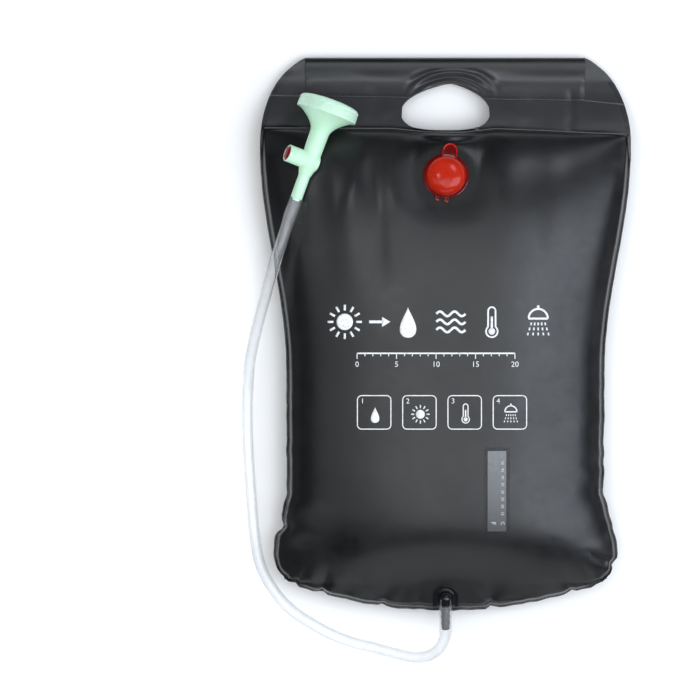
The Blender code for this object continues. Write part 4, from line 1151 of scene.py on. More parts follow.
# %% Height of a film
def front_surface(x, y):
    """Outer face of the front film with all its folds, and its measures from the edge."""
    near, place = edge_measure(x, y)
    covered = under_head(x, y)
    free = 1 - fittings_share(x, y)
    folds = front_folds(x, y, near, place)
    folds = folds * (1 - covered) + np.minimum(folds, -0.0002) * covered
    folds = folds * free * ease((seal_y(x) - y) / 0.012)
    pressed = np.where(y > seal_y(x), 1 - HEAD_PRESS * covered, 1.0)
    shift = header_shift(x, y, near, place) * pressed * free
    return front_height(x, y) + folds + shift, near, place


def back_surface(x, y):
    near, place = edge_measure(x, y)
    folds = back_folds(y, near, place) * (1 - ease((near - 0.02) / 0.02))
    shift = header_shift(x, y, near, place) * (1 - fittings_share(x, y))
    return np.maximum(back_height(x, y) - folds + shift, 0.0), near, place


print("the front film stands", round(FILLER_HEIGHT, 4), "m over the floor at the filler")

# %% Both films
WELD_EDGE = 0.0012
SEAL_BAND = 0.002
PAINTED_LIGHT_START = 0.003
FILLER_CUT = 0.0163
OUTLET_CUT = 0.0053


def film_thickness(piece):
    """Film is modelled as its outer face; its thickness goes inwards."""
    layer = piece.modifiers.new("film_thickness", "SOLIDIFY")
    layer.thickness = FILM
    layer.offset = -1


def drop_loose(bm):
    bmesh.ops.delete(bm, geom=[v for v in bm.verts if not v.link_faces], context="VERTS")


def film_piece(name, front, step, first):
    """One film: its plan, its height, its weld attribute and the attribute of its painted header
    light.
    """
    across = across_shares(step, first)
    along = along_shares(step, first)
    header, hole_row = header_shares(FRONT_HEADER_STEP if front else step)
    plan, lip_row, inside = film_places(across, along, header, hole_row)
    x, y = plan[..., 0], plan[..., 1]
    z, near, place = front_surface(x, y) if front else back_surface(x, y)
    points = np.dstack([plan + edge_shift(y, near, place), z]).reshape(-1, 3)
    past_seal = (y - seal_y(x)).ravel()
    weld = np.maximum((1 - ease((near - WELD_WIDTH) / WELD_EDGE)).ravel(),
                      np.exp(-((past_seal - SEAL_BAND) / SEAL_BAND) ** 4))
    # Painted light: above the seal the film gets the lighter header tone, for the light on its flat
    # film.
    painted_header_light = ease((past_seal - PAINTED_LIGHT_START) / PAINTED_LIGHT_START)
    bm = bmesh.new()
    weld_layer = bm.verts.layers.float.new("weld")
    painted_light_layer = bm.verts.layers.float.new("painted_header_light")
    verts = []
    for co, w, s in zip(points.tolist(), weld.tolist(), painted_header_light.tolist()):
        v = bm.verts.new(co)
        v[weld_layer] = w
        v[painted_light_layer] = s
        verts.append(v)
    for face in film_grid(plan, lip_row, inside):
        corners = list(dict.fromkeys(verts[k] for k in face))
        if len(corners) > 2:
            bm.faces.new(corners if front else corners[::-1])
    drop_loose(bm)
    if front:
        round_hole(bm, (0.0, FILLER_Y), FILLER_CUT)
        round_hole(bm, (0.0, OUTLET_Y), OUTLET_CUT)
        drop_loose(bm)
    piece = add_piece(name, mesh_of(name, bm), black_film)
    film_thickness(piece)
    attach(piece, "bag")
    return piece


front_film = film_piece("front_film", True, FRONT_STEP, 0.0)
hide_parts("front_sheet")
back_film = film_piece("back_film", False, BACK_STEP, BACK_FIRST)
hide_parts("back_sheet")
for film in (front_film, back_film):
    area = sum(f.area for f in film.data.polygons)
    print(film.name, len(film.data.polygons), "faces,", round(area, 4), "square metres")

# %% [markdown]
# ## Rod hem
#
# A stiff rod holds the top edge straight, so that the full bag can hang from it. The film is folded
# over the rod and welded down again on both sides. In the photograph the front tail of that fold
# ends in a pressed line, well below the rod, and is cut away by the hand hole. One strip of film
# makes the whole hem: it starts at the front line, runs up over the rod and down the back. Its rows
# follow the same height as the header, one film thickness above it, so the two never cross.

# %% Hem strip
HEM_HALF = 0.1515
FRONT_LINE_LEFT = 0.2578
FRONT_LINE_RIGHT = 0.2535
BACK_LINE = 0.2690
TEARDROP = 0.020
HEM_ROOM = 0.0004
HEM_LOOP = ROD_RADIUS + ROD_SLACK + FILM
FRONT_TAIL_ROWS = 34
BACK_TAIL_ROWS = 14


def hem_line(x):
    """Lower edge of the front tail: the pressed line, raised over the hand hole."""
    fall = (FRONT_LINE_RIGHT - FRONT_LINE_LEFT) * ease((x + HEM_HALF) / (2 * HEM_HALF))
    return np.maximum(FRONT_LINE_LEFT + fall, hole_edge_y(x, True) + HEM_ROOM)


def tail_height(x, y, side, lift_share):
    """Height of the tail in front of the header (1) or behind it (-1), as a soft teardrop."""
    flat = GAP * 1.5 + 2 * FILM
    rise = flat + (HEM_LOOP - flat) * ease((y - ROD_Y + TEARDROP) / TEARDROP)
    return weld_plane(y) + side * rise + header_shift(x, y, *edge_measure(x, y)) * lift_share


def hem_strip():
    """The strip as columns of points: up the front, over the rod and down the back."""
    columns = np.unique(np.round(np.concatenate([
        np.linspace(-HEM_HALF, HEM_HALF, 131), np.linspace(-0.062, 0.066, 86),
        [s * v for s in (-1, 1)
         for v in (0.0463, 0.0480, HEM_HALF - 0.0006, HEM_HALF - 0.0012)]]), 6))
    angles = np.linspace(pi / 2, -pi / 2, 13)
    strip = []
    for x in columns:
        foot = float(hem_line(x))
        front_y = np.linspace(foot, ROD_Y, FRONT_TAIL_ROWS, endpoint=False)
        front_x = np.full(front_y.shape, x)
        pressed = 1 - ease((HEM_HALF - abs(x)) / 0.005)
        sunk = (0.8 * (GAP + FILM) * pressed
                * (1 - ease((front_y - ROD_Y + TEARDROP) / 0.004)))
        covered = under_head(front_x, front_y)
        front_z = tail_height(front_x, front_y, 1, 1 - HEAD_PRESS * covered) - sunk
        back_y = np.linspace(ROD_Y, max(BACK_LINE, foot), BACK_TAIL_ROWS)[1:]
        back_z = tail_height(np.full(back_y.shape, x), back_y, -1, 1)
        y = np.concatenate([front_y, ROD_Y + HEM_LOOP * np.cos(angles), back_y])
        z = np.concatenate([front_z, ROD_Z + HEM_LOOP * np.sin(angles), back_z])
        strip.append(np.stack([np.full(y.shape, x), y, z], axis=1))
    return np.array(strip)


def set_attribute(piece, name, values):
    layer = piece.data.attributes.new(name, "FLOAT", "POINT")
    layer.data.foreach_set("value", values.astype(np.float32))


hem_rows = hem_strip()
bm = bmesh.new()
skin(bm, hem_rows.tolist(), flip=True)
hem = add_piece("rod_hem", mesh_of("rod_hem", bm), black_film)
hem_x, hem_y, _ = hem_rows.reshape(-1, 3).T
set_attribute(hem, "weld", np.exp(-((hem_y - hem_line(hem_x) - 0.002) / 0.0025) ** 4))
# Painted light and shade on the hem: its tails get the lighter header tone, and the rod loop keeps
# the dark tone as painted shade where it curves away.
set_attribute(hem, "painted_header_light", ease((ROD_Y - 0.003 - hem_y) / 0.010))
film_thickness(hem)
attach(hem, "bag")
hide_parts("rod_sleeve")
print("hem faces", len(hem.data.polygons))

# %% [markdown]
# ## Weld beads
#
# A welding bar squeezes a fine bead of film out beside its edge. On the bag it shows as a thin
# light line along the seal, and as the pressed line that runs on from the hem to both edges. Each
# bead is a low half-round ridge, laid along its line on the film; it is finer than the film's grid.
# Its lighter grey is partly the whitening of a weld and partly a painted highlight.

# %% Beads
BEAD_WIDTH = 0.0014
BEAD_HEIGHT = 0.0005
BEAD_PROFILE = ((-0.5, -0.3), (-0.35, 0.45), (-0.12, 0.95), (0.12, 0.95), (0.35, 0.45),
                (0.5, -0.3))
BEAD_OVER_SEAL = 0.0012
# The pressed line from both ends of the hem out to the edges of the bag.
LINES_BEYOND = (((-0.1895, 0.2592), (-HEM_HALF - HEM_ROOM, FRONT_LINE_LEFT + 0.0004)),
                ((HEM_HALF + HEM_ROOM, FRONT_LINE_RIGHT), (0.1925, 0.2490)))


def bead(xs, ys):
    """Rows of points across a low ridge on the film, along a line of places."""
    rows = []
    for across, up in BEAD_PROFILE:
        y = ys + across * BEAD_WIDTH
        z, _, _ = front_surface(xs, y)
        rows.append(np.stack([xs, y, z + up * BEAD_HEIGHT], axis=1))
    return np.array(rows)


def bead_mesh(beads):
    """Closed ridges: each one's rows, wrapped round to a flat underside, with capped ends."""
    bm = bmesh.new()
    for rows in beads:
        verts = skin(bm, rows.tolist(), closed=True)
        bm.faces.new([row[0] for row in verts])
        bm.faces.new([row[-1] for row in verts][::-1])
    return closed_mesh("weld_beads", bm, 60)


seal_reach = SHOULDER_HALF_WIDTH - WELD_WIDTH
seal_xs = np.linspace(-seal_reach, seal_reach, 280)
beads = [bead(seal_xs, seal_y(seal_xs) + BEAD_OVER_SEAL)]
for start, end in LINES_BEYOND:
    line_xs = np.linspace(start[0], end[0], 40)
    beads.append(bead(line_xs, np.interp(line_xs, (start[0], end[0]), (start[1], end[1]))))
# The beads' lighter tone: partly a whitened weld, partly a painted highlight along the seal.
weld_beads = add_piece("weld_beads", bead_mesh(beads), pressed_film_painted_highlight)
for attribute in ("weld", "painted_header_light"):
    set_attribute(weld_beads, attribute, np.ones(len(weld_beads.data.vertices)))
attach(weld_beads, "bag")
print("bead faces", len(weld_beads.data.polygons))

# %% [markdown]
# ## Moulded plastic
#
# The hard parts are injection moulded. Up close such a surface is never one flat colour: it has
# faint flow clouds and a fine pressed grain from the mould, and the gloss changes a little from
# place to place. One helper gives every plastic those three things, so a part only has to say its
# colour, its gloss and how much light passes through it.

# %% Plastics and rubber
MOULDED_TONES = (0.35, 0.65)
GRAIN_SCALE = 1400.0
GRAIN_DEPTH = 0.00008
GLOW_DEPTH = 0.006


def moulded(name, dark, light, roughness, grain=0.06, passing=0.0, coat=0.0, clouds=35.0,
            glow=0.0):
    """A moulded finish: cloudy colour between two tones, uneven gloss and a fine grain."""
    material = principled(name, Roughness=roughness, Transmission_Weight=passing,
                          Coat_Weight=coat, Coat_Roughness=0.08, IOR=1.49)
    shader = shader_of(material)
    if glow > 0:
        shader.inputs["Subsurface Weight"].default_value = glow
        shader.inputs["Subsurface Scale"].default_value = GLOW_DEPTH
        shader.inputs["Subsurface Radius"].default_value = (1.0, 1.0, 1.0)
    place = add_node(material, "ShaderNodeTexCoord")
    flow = noise(material, place, Scale=clouds, Detail=4.0, Roughness=0.55)
    pits = noise(material, place, Scale=GRAIN_SCALE, Detail=2.0)
    tones = two_tones(material, flow, "Fac", dark, light, *MOULDED_TONES)
    link(material, tones, "Color", shader, "Base Color")
    uneven_gloss(material, flow, max(roughness - 0.06, 0.02), roughness + 0.08)
    relief(material, pits, "Fac", grain, GRAIN_DEPTH)
    return material


cap_red = moulded("red_cap_plastic", (0.36, 0.011, 0.003), (0.45, 0.018, 0.005), 0.26)
for socket, value in (("Specular IOR Level", 0.06), ("Coat Weight", 0.55),
                      ("Coat Roughness", 0.15)):
    shader_of(cap_red).inputs[socket].default_value = value
# Darker copy of the cap's red for the thin brim, tab and strap: painted shade for the black film
# seen through the thin plastic, which also lets light through.
thin_red_painted_dark = moulded("red_strap_plastic", (0.18, 0.006, 0.007), (0.27, 0.010, 0.012), 0.12,
                    passing=0.45, coat=0.5)
gloss_black = moulded("gloss_black_plastic", (0.006, 0.006, 0.007), (0.010, 0.010, 0.012), 0.16,
                      coat=0.3)
rod_black = moulded("rod_plastic", (0.020, 0.020, 0.020), (0.032, 0.032, 0.032), 0.45, grain=0.15)
mint = moulded("mint_plastic", (0.47, 0.76, 0.54), (0.56, 0.83, 0.64), 0.34, glow=0.30,
               clouds=22.0)
mint_clear = moulded("mint_rim_plastic", (0.50, 0.77, 0.58), (0.60, 0.84, 0.68), 0.30, glow=0.30,
                     clouds=60.0)
crimson = moulded("crimson_plastic", (0.24, 0.010, 0.024), (0.32, 0.014, 0.034), 0.30)
rubber = moulded("seal_rubber", (0.012, 0.012, 0.012), (0.020, 0.020, 0.020), 0.55, grain=0.2)

# The construction nodes that stay in the scene, and the finish that each one gets.
NODE_FINISHES = {"handle_rod": rod_black, "filler_flange": gloss_black, "cap_strap": thin_red_painted_dark,
                 "plunger_seal_inner": rubber, "plunger_seal_outer": rubber}
for node, material in NODE_FINISHES.items():
    for slot in bpy.data.objects[node].material_slots:
        slot.material = material
print("plastics:", ", ".join(m.name for m in (cap_red, thin_red_painted_dark, gloss_black, mint, crimson)))

# %% [markdown]
# ## Turned and cut shapes
#
# Caps, nozzles and shower heads are round, so a profile spun about an axis makes most of each one.
# The small helpers here spin a profile, push an outline into a plate, and join or cut shapes with
# booleans. Where a moulded part needs soft fillets at its joints, the joined shape is rebuilt as
# fine even voxels and relaxed a little, which rounds every inside corner as a mould does.

# %% Turned shapes and plates
AXIS_RADIUS = 1e-9
MOULD_EDGE = 38


def turned(name, profile, steps, closed=False, ribs=None):
    """Spin a profile of (radius, height) about Z; ribs(radius, height, angle) may move a radius."""
    bm = bmesh.new()
    rings = []
    for k in range(steps):
        angle = 2 * pi * k / steps
        ring = []
        for r, z in profile:
            radius = ribs(r, z, angle) if ribs else r
            spot = (radius * cos(angle), radius * sin(angle), z)
            ring.append(None if r < AXIS_RADIUS else bm.verts.new(spot))
        rings.append(ring)
    poles = {i: bm.verts.new((0, 0, z)) for i, (r, z) in enumerate(profile) if r < AXIS_RADIUS}
    count = len(profile)
    for a, b in zip(rings, rings[1:] + rings[:1]):
        for i in range(count if closed else count - 1):
            j = (i + 1) % count
            corners = [a[i] or poles[i], b[i] or poles[i], b[j] or poles[j], a[j] or poles[j]]
            corners = list(dict.fromkeys(corners))
            if len(corners) > 2:
                bm.faces.new(corners)
    return closed_mesh(name, bm, MOULD_EDGE)


def plate(name, outline, low, high, rounding=0.0):
    """Push an outline up into a plate and round its upper and lower edges."""
    bm = bmesh.new()
    base = [bm.verts.new((x, y, low)) for x, y in outline]
    top = [bm.verts.new((x, y, high)) for x, y in outline]
    faces = [bm.faces.new(base[::-1]), bm.faces.new(top)]
    for i in range(len(outline)):
        j = (i + 1) % len(outline)
        bm.faces.new((base[i], base[j], top[j], top[i]))
    if rounding > 0:
        rims = [e for face in faces for e in face.edges]
        bmesh.ops.bevel(bm, geom=rims, offset=rounding, segments=3, affect="EDGES", profile=0.5)
    return closed_mesh(name, bm, MOULD_EDGE)


def arc_points(centre, radius, start, end, count):
    return [(centre[0] + radius * cos(a), centre[1] + radius * sin(a))
            for a in np.linspace(start, end, count)]


print("round shapes are spun, flat ones are pushed up")


# %% Joining, cutting and softening
def placed(mesh, matrix):
    mesh.transform(matrix)
    return mesh


def joined(name, meshes):
    """Several meshes side by side in one mesh, with their materials kept apart by number."""
    bm = bmesh.new()
    for mesh in meshes:
        bm.from_mesh(mesh)
    return mesh_of(name, bm, MOULD_EDGE)


def combine(name, base, tools):
    """Join (UNION) or cut (DIFFERENCE) closed meshes one after another."""
    holder = new_object(name + "_work", base)
    for operation, tool_mesh in tools:
        tool = new_object(name + "_tool", tool_mesh)
        step = holder.modifiers.new("step", "BOOLEAN")
        step.operation = operation
        step.solver = "EXACT"
        step.object = tool
        holder.data = settled(holder)
        holder.modifiers.clear()
        bpy.data.objects.remove(tool)
    mesh = holder.data
    bpy.data.objects.remove(holder)
    return mesh


def settled(holder):
    """The mesh of an object with its modifiers worked in."""
    bpy.context.view_layer.update()
    graph = bpy.context.evaluated_depsgraph_get()
    return bpy.data.meshes.new_from_object(holder.evaluated_get(graph), depsgraph=graph)


def soft_moulding(name, mesh, voxel, seat):
    """Rebuild a joined shape in fine voxels and relax it, so that its joints turn into fillets."""
    holder = new_object(name + "_work", mesh)
    grid = holder.modifiers.new("voxels", "REMESH")
    grid.mode = "VOXEL"
    grid.voxel_size = voxel
    relax = holder.modifiers.new("relax", "SMOOTH")
    relax.factor = 0.5
    relax.iterations = 2
    result = settled(holder)
    bpy.data.objects.remove(holder)
    result.name = name + "_fine"
    result.materials.clear()
    result.shade_smooth()
    return placed(result, seat)


def crisp_turning(mesh, sharp, seat):
    """A cut turned shape at its place, with smooth shading between its crisp edges."""
    mesh.materials.clear()
    mesh.shade_smooth()
    mesh.set_sharp_from_angle(angle=radians(sharp))
    return placed(mesh, seat)


print("joined shapes get soft joints or crisp edges")

# %% [markdown]
# ## Filler cap
#
# The filler is a soft PVC cap on a strap. The photograph shows a bright, glossy red dome with a
# thin brim and a pull tab; brim and tab are thin enough that the black film shows through them and
# turns them dark red. They let some light through, and their red is also a darker copy of the
# dome's: painted shade for the black film seen through thin plastic. The dome, brim and hollow plug
# are one spun profile, and the tab is a plate with a raised bead round its edge. The cap turns on
# two small bands, folded double at the foot.
# Each fold is its own short band between the strap on the bag and the cap.

# %% Cap
FILLER_AXES = ((0.98629, -0.16254, 0.02866), (0.16505, 0.9713, -0.17127), (0.0, 0.17365, 0.98481))
filler_seat = seat_matrix(Vector((0.0, FILLER_Y, FILLER_HEIGHT)), *FILLER_AXES)
CAP_UNDERSIDE = 0.0018
BRIM_TOP = 0.0034
BRIM_RADIUS = 0.0246
DOME_RADIUS = 0.0211
DOME_HEIGHT = 0.0113
PLUG_BORE = 0.0106
TAB_LOW = 0.0020
TAB_HIGH = 0.0032
TAB_HALF = 0.0077
TAB_REACH = 0.0355
TAB_FOOT = 0.0195
TAB_BEAD = 0.0009
HINGE_REACH = 0.0265
LEAF_FOOT = 0.0214
LEAF_HALF = 0.0021
LEAF_PLACES = (-0.005, 0.005)


def dome_section(radius, height, base, count, power=2.5):
    """From the crown out to the foot of a full, round-shouldered dome."""
    angles = np.linspace(0, pi / 2, count)
    return [(radius * sin(a) ** (2 / power), base + height * cos(a) ** (2 / power))
            for a in angles]


def cap_section():
    top = dome_section(DOME_RADIUS, DOME_HEIGHT, BRIM_TOP + 0.0002, 22)
    brim = [(DOME_RADIUS + 0.0003, BRIM_TOP - 0.0003), (BRIM_RADIUS - 0.0012, BRIM_TOP - 0.0004),
            (BRIM_RADIUS - 0.0009, BRIM_TOP), (BRIM_RADIUS - 0.0005, BRIM_TOP + 0.0002),
            (BRIM_RADIUS - 0.0001, BRIM_TOP), (BRIM_RADIUS, BRIM_TOP - 0.0005),
            (BRIM_RADIUS, CAP_UNDERSIDE + 0.0004), (BRIM_RADIUS - 0.0004, CAP_UNDERSIDE)]
    plug = [(0.0136, CAP_UNDERSIDE), (0.0132, -0.0030), (0.0135, -0.0045), (0.0130, -0.0064),
            (0.0124, -0.0067), (0.0110, -0.0067), (PLUG_BORE, -0.0062)]
    inside = dome_section(PLUG_BORE, 0.0060, 0.0040, 8)[::-1]
    return top + brim + plug + inside


def leaf(x):
    """One of the two flat leaves that carry the cap at its hinge."""
    outline = [(x - LEAF_HALF, -HINGE_REACH), (x + LEAF_HALF, -HINGE_REACH),
               (x + LEAF_HALF, -LEAF_FOOT), (x - LEAF_HALF, -LEAF_FOOT)]
    return plate("leaf", outline, TAB_LOW, TAB_HIGH, 0.0003)


tab_line = ([(TAB_HALF, TAB_FOOT)] + arc_points((0, TAB_REACH - TAB_HALF), TAB_HALF, 0, pi, 25)
            + [(-TAB_HALF, TAB_FOOT)])
tab_plate = plate("pull_tab", tab_line, TAB_LOW, TAB_HIGH, 0.0004)
bead_line = [Vector((x * 0.93, TAB_FOOT + (y - TAB_FOOT) * 0.985, TAB_HIGH)) for x, y in tab_line]
tab_bead = hollow_tube("tab_bead", bead_line, [TAB_BEAD] * len(bead_line), 0.0008, 8)
cap_mesh = joined("filler_cap_fine", [turned("cap_dome", cap_section(), 72), tab_plate, tab_bead]
                  + [leaf(x) for x in LEAF_PLACES])
cap = add_piece("filler_cap_fine", cap_mesh, cap_red, thin_red_painted_dark)
# Brim and tab get the darker red, painted shade for the film seen through them.
for face in cap_mesh.polygons:
    away = face.center.xy.length
    thin = away > DOME_RADIUS + 0.0002 and face.center.z > 0.001
    raised = face.center.z > TAB_HIGH + 0.0001 and away > BRIM_RADIUS
    face.material_index = 1 if thin and not raised else 0
placed(cap_mesh, filler_seat)
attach(cap, "cap")
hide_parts("filler_cap")
print("cap faces", len(cap_mesh.polygons))

# %% Folded bands
BAND_LOW = 0.0009
BAND_HIGH = 0.0026
BAND_THICKNESS = 0.0011
BAND_END = 0.0012
FOLD_BULGE = 0.0022
# Corners round a band: across it, and in half thicknesses out of its middle.
BAND_CORNERS = [(-LEAF_HALF, -1), (-0.0017, -1.15), (0.0017, -1.15), (LEAF_HALF, -1),
                (LEAF_HALF, 1), (0.0017, 1.15), (-0.0017, 1.15), (-LEAF_HALF, 1)]


def fold_band(x):
    """One band, doubled over: out along the strap, round the fold, and back along the cap."""
    middle = (BAND_LOW + BAND_HIGH) / 2
    half = (BAND_HIGH - BAND_LOW) / 2
    line = [(-HINGE_REACH + BAND_END, BAND_LOW)]
    line += [(-HINGE_REACH - FOLD_BULGE * cos(a) * 0.9, middle + half * 1.15 * sin(a))
             for a in np.linspace(-pi / 2, pi / 2, 15)]
    line += [(-HINGE_REACH + BAND_END, BAND_HIGH)]
    rows = []
    for i, (y, z) in enumerate(line):
        before, after = line[max(i - 1, 0)], line[min(i + 1, len(line) - 1)]
        along = Vector((after[0] - before[0], after[1] - before[1])).normalized()
        normal = Vector((along.y, -along.x))
        half_t = BAND_THICKNESS / 2
        rows.append([(x + dx, y + normal.x * s * half_t, z + normal.y * s * half_t)
                     for dx, s in BAND_CORNERS])
    bm = bmesh.new()
    rings = skin(bm, rows, around=True)
    bm.faces.new(rings[0][::-1])
    bm.faces.new(rings[-1])
    return closed_mesh("fold_band", bm, 50)


folds_mesh = placed(joined("strap_folds", [fold_band(x) for x in LEAF_PLACES]), filler_seat)
strap_folds = add_piece("strap_folds", folds_mesh, thin_red_painted_dark)
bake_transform(strap_folds)
print("strap fold faces", len(folds_mesh.polygons))

# %% [markdown]
# ## Outlet
#
# The outlet is a small gloss black moulding: an arched plate welded to the film, a rounded elbow
# and a ribbed nozzle that the hose is pushed over. The photograph shows a bright line down the
# elbow and the dark nozzle through the clear hose. Plate, boss, elbow and nozzle are joined, the
# water way is cut through them, and soft voxels turn the joints into moulded fillets.

# %% Outlet fitting
PLATE_RADIUS = 0.0137
PLATE_FOOT = 0.0110
PLATE_TOP = GAP + 0.0015
BOSS_RADIUS = 0.0092
BOSS_FOOT = 0.0095
ELBOW_RADIUS = 0.0066
NOZZLE_RIBS = (-0.0120, -0.0190, -0.0260)
OUTLET_VOXEL = 0.00036


def arch_outline(radius, foot, count=33):
    return [(radius, -foot)] + arc_points((0, 0), radius, 0, pi, count) + [(-radius, -foot)]


def nozzle_section():
    """The elbow and the nozzle from their round end to the tip, with three low ribs."""
    points = [(0.0, 0.0076)]
    points += arc_points((0.0, 0.0010), ELBOW_RADIUS, 1.45, 0, 10)
    points += [(ELBOW_RADIUS, -0.0050), (0.0062, -0.0055), (0.0049, -0.0058)]
    for rib in NOZZLE_RIBS:
        points += [(0.0046, rib + 0.0024), (0.0052, rib), (0.0051, rib - 0.0005),
                   (0.0046, rib - 0.0010)]
    return points + [(0.0045, -0.0320), (0.0041, -0.0334), (0.0, -0.0335)]


def pin(name, radius, low, high, steps):
    """A plain round pin about Z."""
    return turned(name, [(0.0, low), (radius, low), (radius, high), (0.0, high)], steps)


down_nozzle = Matrix.Translation((0, 0, NOZZLE_HEIGHT)) @ Matrix.Rotation(-pi / 2, 4, "X")
outlet_base = plate("outlet_plate", arch_outline(PLATE_RADIUS, PLATE_FOOT), GAP, PLATE_TOP, 0.0005)
boss = plate("outlet_boss", arch_outline(BOSS_RADIUS, BOSS_FOOT), GAP + 0.0010,
             PLATE_TOP + 0.0013, 0.0007)
outlet_mesh = combine("outlet", outlet_base, [
    ("UNION", boss),
    ("UNION", pin("outlet_port", 0.0050, -0.0045, NOZZLE_HEIGHT, 40)),
    ("UNION", placed(turned("outlet_elbow", nozzle_section(), 48), down_nozzle)),
    ("DIFFERENCE", placed(pin("water_way", 0.0032, 0.0010, -0.040, 32), down_nozzle)),
    ("DIFFERENCE", pin("drop_way", 0.0030, -0.0100, NOZZLE_HEIGHT, 32))])
outlet_mesh = soft_moulding("outlet", outlet_mesh, OUTLET_VOXEL, outlet_seat)
outlet = add_piece("outlet_fine", outlet_mesh, gloss_black)
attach(outlet, "bag")
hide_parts("outlet_fitting")
print("outlet faces", len(outlet_mesh.polygons))

# %% [markdown]
# ## Shower head
#
# The head is the most skilful part of the bag: a mint green moulding with a funnel, a neck, a grip
# and a stem, and a short barrel across it for the push valve. The photograph's close view shows
# two grooves along the grip, a collar with fine ribs, and a slightly wavy rim where the face is
# snapped on. The plastic lets some light through, so it glows softly at thin edges. The body is a
# spun profile joined with the barrel, with the valve's bore and the grooves cut out, and soft
# voxels again give it the rounded joints of a moulding.

# %% Head body
ROSE_RADIUS = 0.0332
ROSE_COLLAR = 0.0120
ROSE_WALL = 0.0018
NECK_RADIUS = 0.0104
GRIP_RADIUS = 0.0096
FUNNEL_END = 0.034
GRIP_END = 0.072
TAPER_END = 0.082
STEM_RADIUS = 0.0064
STEM_BORE = 0.0030
VALVE_AT = 0.0655
VALVE_OUTER = 0.0094
VALVE_REACH = 0.0275
VALVE_BACK = 0.0090
VALVE_BORE = 0.0062
VALVE_BORE_DEPTH = 0.0055
BUTTON_RADIUS = 0.0078
BUTTON_THICKNESS = 0.0030
BUTTON_RECESS = 0.0008
FIT = 0.0003
SHOWN_BARB = 0.0025
HEAD_VOXEL = 0.00058
FLARE = 1.9


def head_section():
    """From the rim down the funnel, grip and stem to the barb, and back up through the bore."""
    rim = ROSE_RADIUS - ROSE_WALL - FIT
    inside_rim = rim - 0.0020
    barb = -STEM_END - SHOWN_BARB
    shares = np.linspace(0, 1, 16)
    outside = [(rim, -ROSE_WALL - FIT), (rim, -ROSE_COLLAR + 0.0010)]
    outside += [(NECK_RADIUS + (rim - 0.0010 - NECK_RADIUS) * (1 - s) ** FLARE,
                 -ROSE_COLLAR + (-FUNNEL_END + ROSE_COLLAR) * s) for s in shares]
    outside += [(GRIP_RADIUS, -GRIP_END), (STEM_RADIUS + 0.0006, -TAPER_END + 0.0010),
                (STEM_RADIUS, -TAPER_END), (STEM_RADIUS, -STEM_END + 0.0003),
                (STEM_RADIUS - 0.0003, -STEM_END), (0.0038, -STEM_END),
                (0.0038, barb + 0.0030), (0.0043, barb + 0.0018), (0.0037, barb)]
    inside = [(STEM_BORE, barb), (STEM_BORE, -FUNNEL_END - 0.0040)]
    inside += [(STEM_BORE + 0.0010 + (inside_rim - STEM_BORE - 0.0010) * s ** FLARE,
                -FUNNEL_END + 0.0020 + (FUNNEL_END - ROSE_COLLAR) * s)
               for s in np.linspace(0, 1, 10)]
    return outside + inside + [(inside_rim, -ROSE_WALL - FIT)]


across_head = Matrix.Translation((0, 0, -VALVE_AT)) @ Matrix.Rotation(pi / 2, 4, "Y")


def barrel_shape(name, radius, low, high, rounding=0.0006):
    section = [(0.0, low), (radius - rounding, low), (radius, low + rounding),
               (radius, high - rounding), (radius - rounding, high), (0.0, high)]
    return placed(turned(name, section, 56), across_head)


def groove(name, width, radius, start, end, depth):
    """A shallow groove with round ends along the side of the grip that faces the valve."""
    outline = arc_points((0, -start - width / 2), width / 2, 0, pi, 13)
    outline += arc_points((0, -end + width / 2), width / 2, pi, 2 * pi, 13)
    shape = plate(name, outline, radius - depth, 2 * radius)
    return placed(shape, Matrix(((0, 0, 1, 0), (1, 0, 0, 0), (0, 1, 0, 0), (0, 0, 0, 1))))


mouth_floor = VALVE_REACH - BUTTON_THICKNESS - BUTTON_RECESS - GAP
past_mouth = VALVE_REACH + 0.004
head_mesh = combine("head", turned("head_turned", head_section(), 72, closed=True), [
    ("UNION", barrel_shape("barrel", VALVE_OUTER, -VALVE_BACK, VALVE_REACH)),
    ("DIFFERENCE", barrel_shape("bore", VALVE_BORE, -VALVE_BORE_DEPTH, past_mouth, 0.0001)),
    ("DIFFERENCE", barrel_shape("mouth", BUTTON_RADIUS + FIT, mouth_floor, past_mouth, 0.0001)),
    ("DIFFERENCE", groove("grip_groove", 0.0036, GRIP_RADIUS, 0.036, 0.0545, 0.0012)),
    ("DIFFERENCE", groove("stem_groove", 0.0024, STEM_RADIUS, 0.084, 0.100, 0.0009))])
head_mesh = soft_moulding("head", head_mesh, HEAD_VOXEL, head_seat)
head = add_piece("head_fine", head_mesh, mint)
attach(head, "bag")
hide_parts("head_body")
print("head faces", len(head_mesh.polygons))

# %% Rose
ROSE_CROWN = 0.0052
ROSE_DOME_POWER = 2.2
ROSE_HOLE_RADIUS = 0.0009
ROSE_HOLE_PITCH = 0.008
COLLAR_RIBS = 60
RIBS_START = -0.0030
RIB_DEPTH = 0.00035
RIM_WAVE = 0.0002


def rose_section():
    crown = dome_section(ROSE_RADIUS - 0.0012, ROSE_CROWN, 0.0, 14, ROSE_DOME_POWER)
    collar = [(ROSE_RADIUS - 0.0004, -0.0003), (ROSE_RADIUS, -0.0010), (ROSE_RADIUS, -0.0022),
              (ROSE_RADIUS - 0.0004, -0.0028), (ROSE_RADIUS - 0.0002, -0.0040),
              (ROSE_RADIUS - 0.0001, -0.0080), (ROSE_RADIUS, -0.0112),
              (ROSE_RADIUS - 0.0005, -ROSE_COLLAR)]
    inner = ROSE_RADIUS - ROSE_WALL
    under = dome_section(inner, ROSE_CROWN, -ROSE_WALL, 10, ROSE_DOME_POWER)[::-1]
    return crown + collar + [(inner, -ROSE_COLLAR)] + under


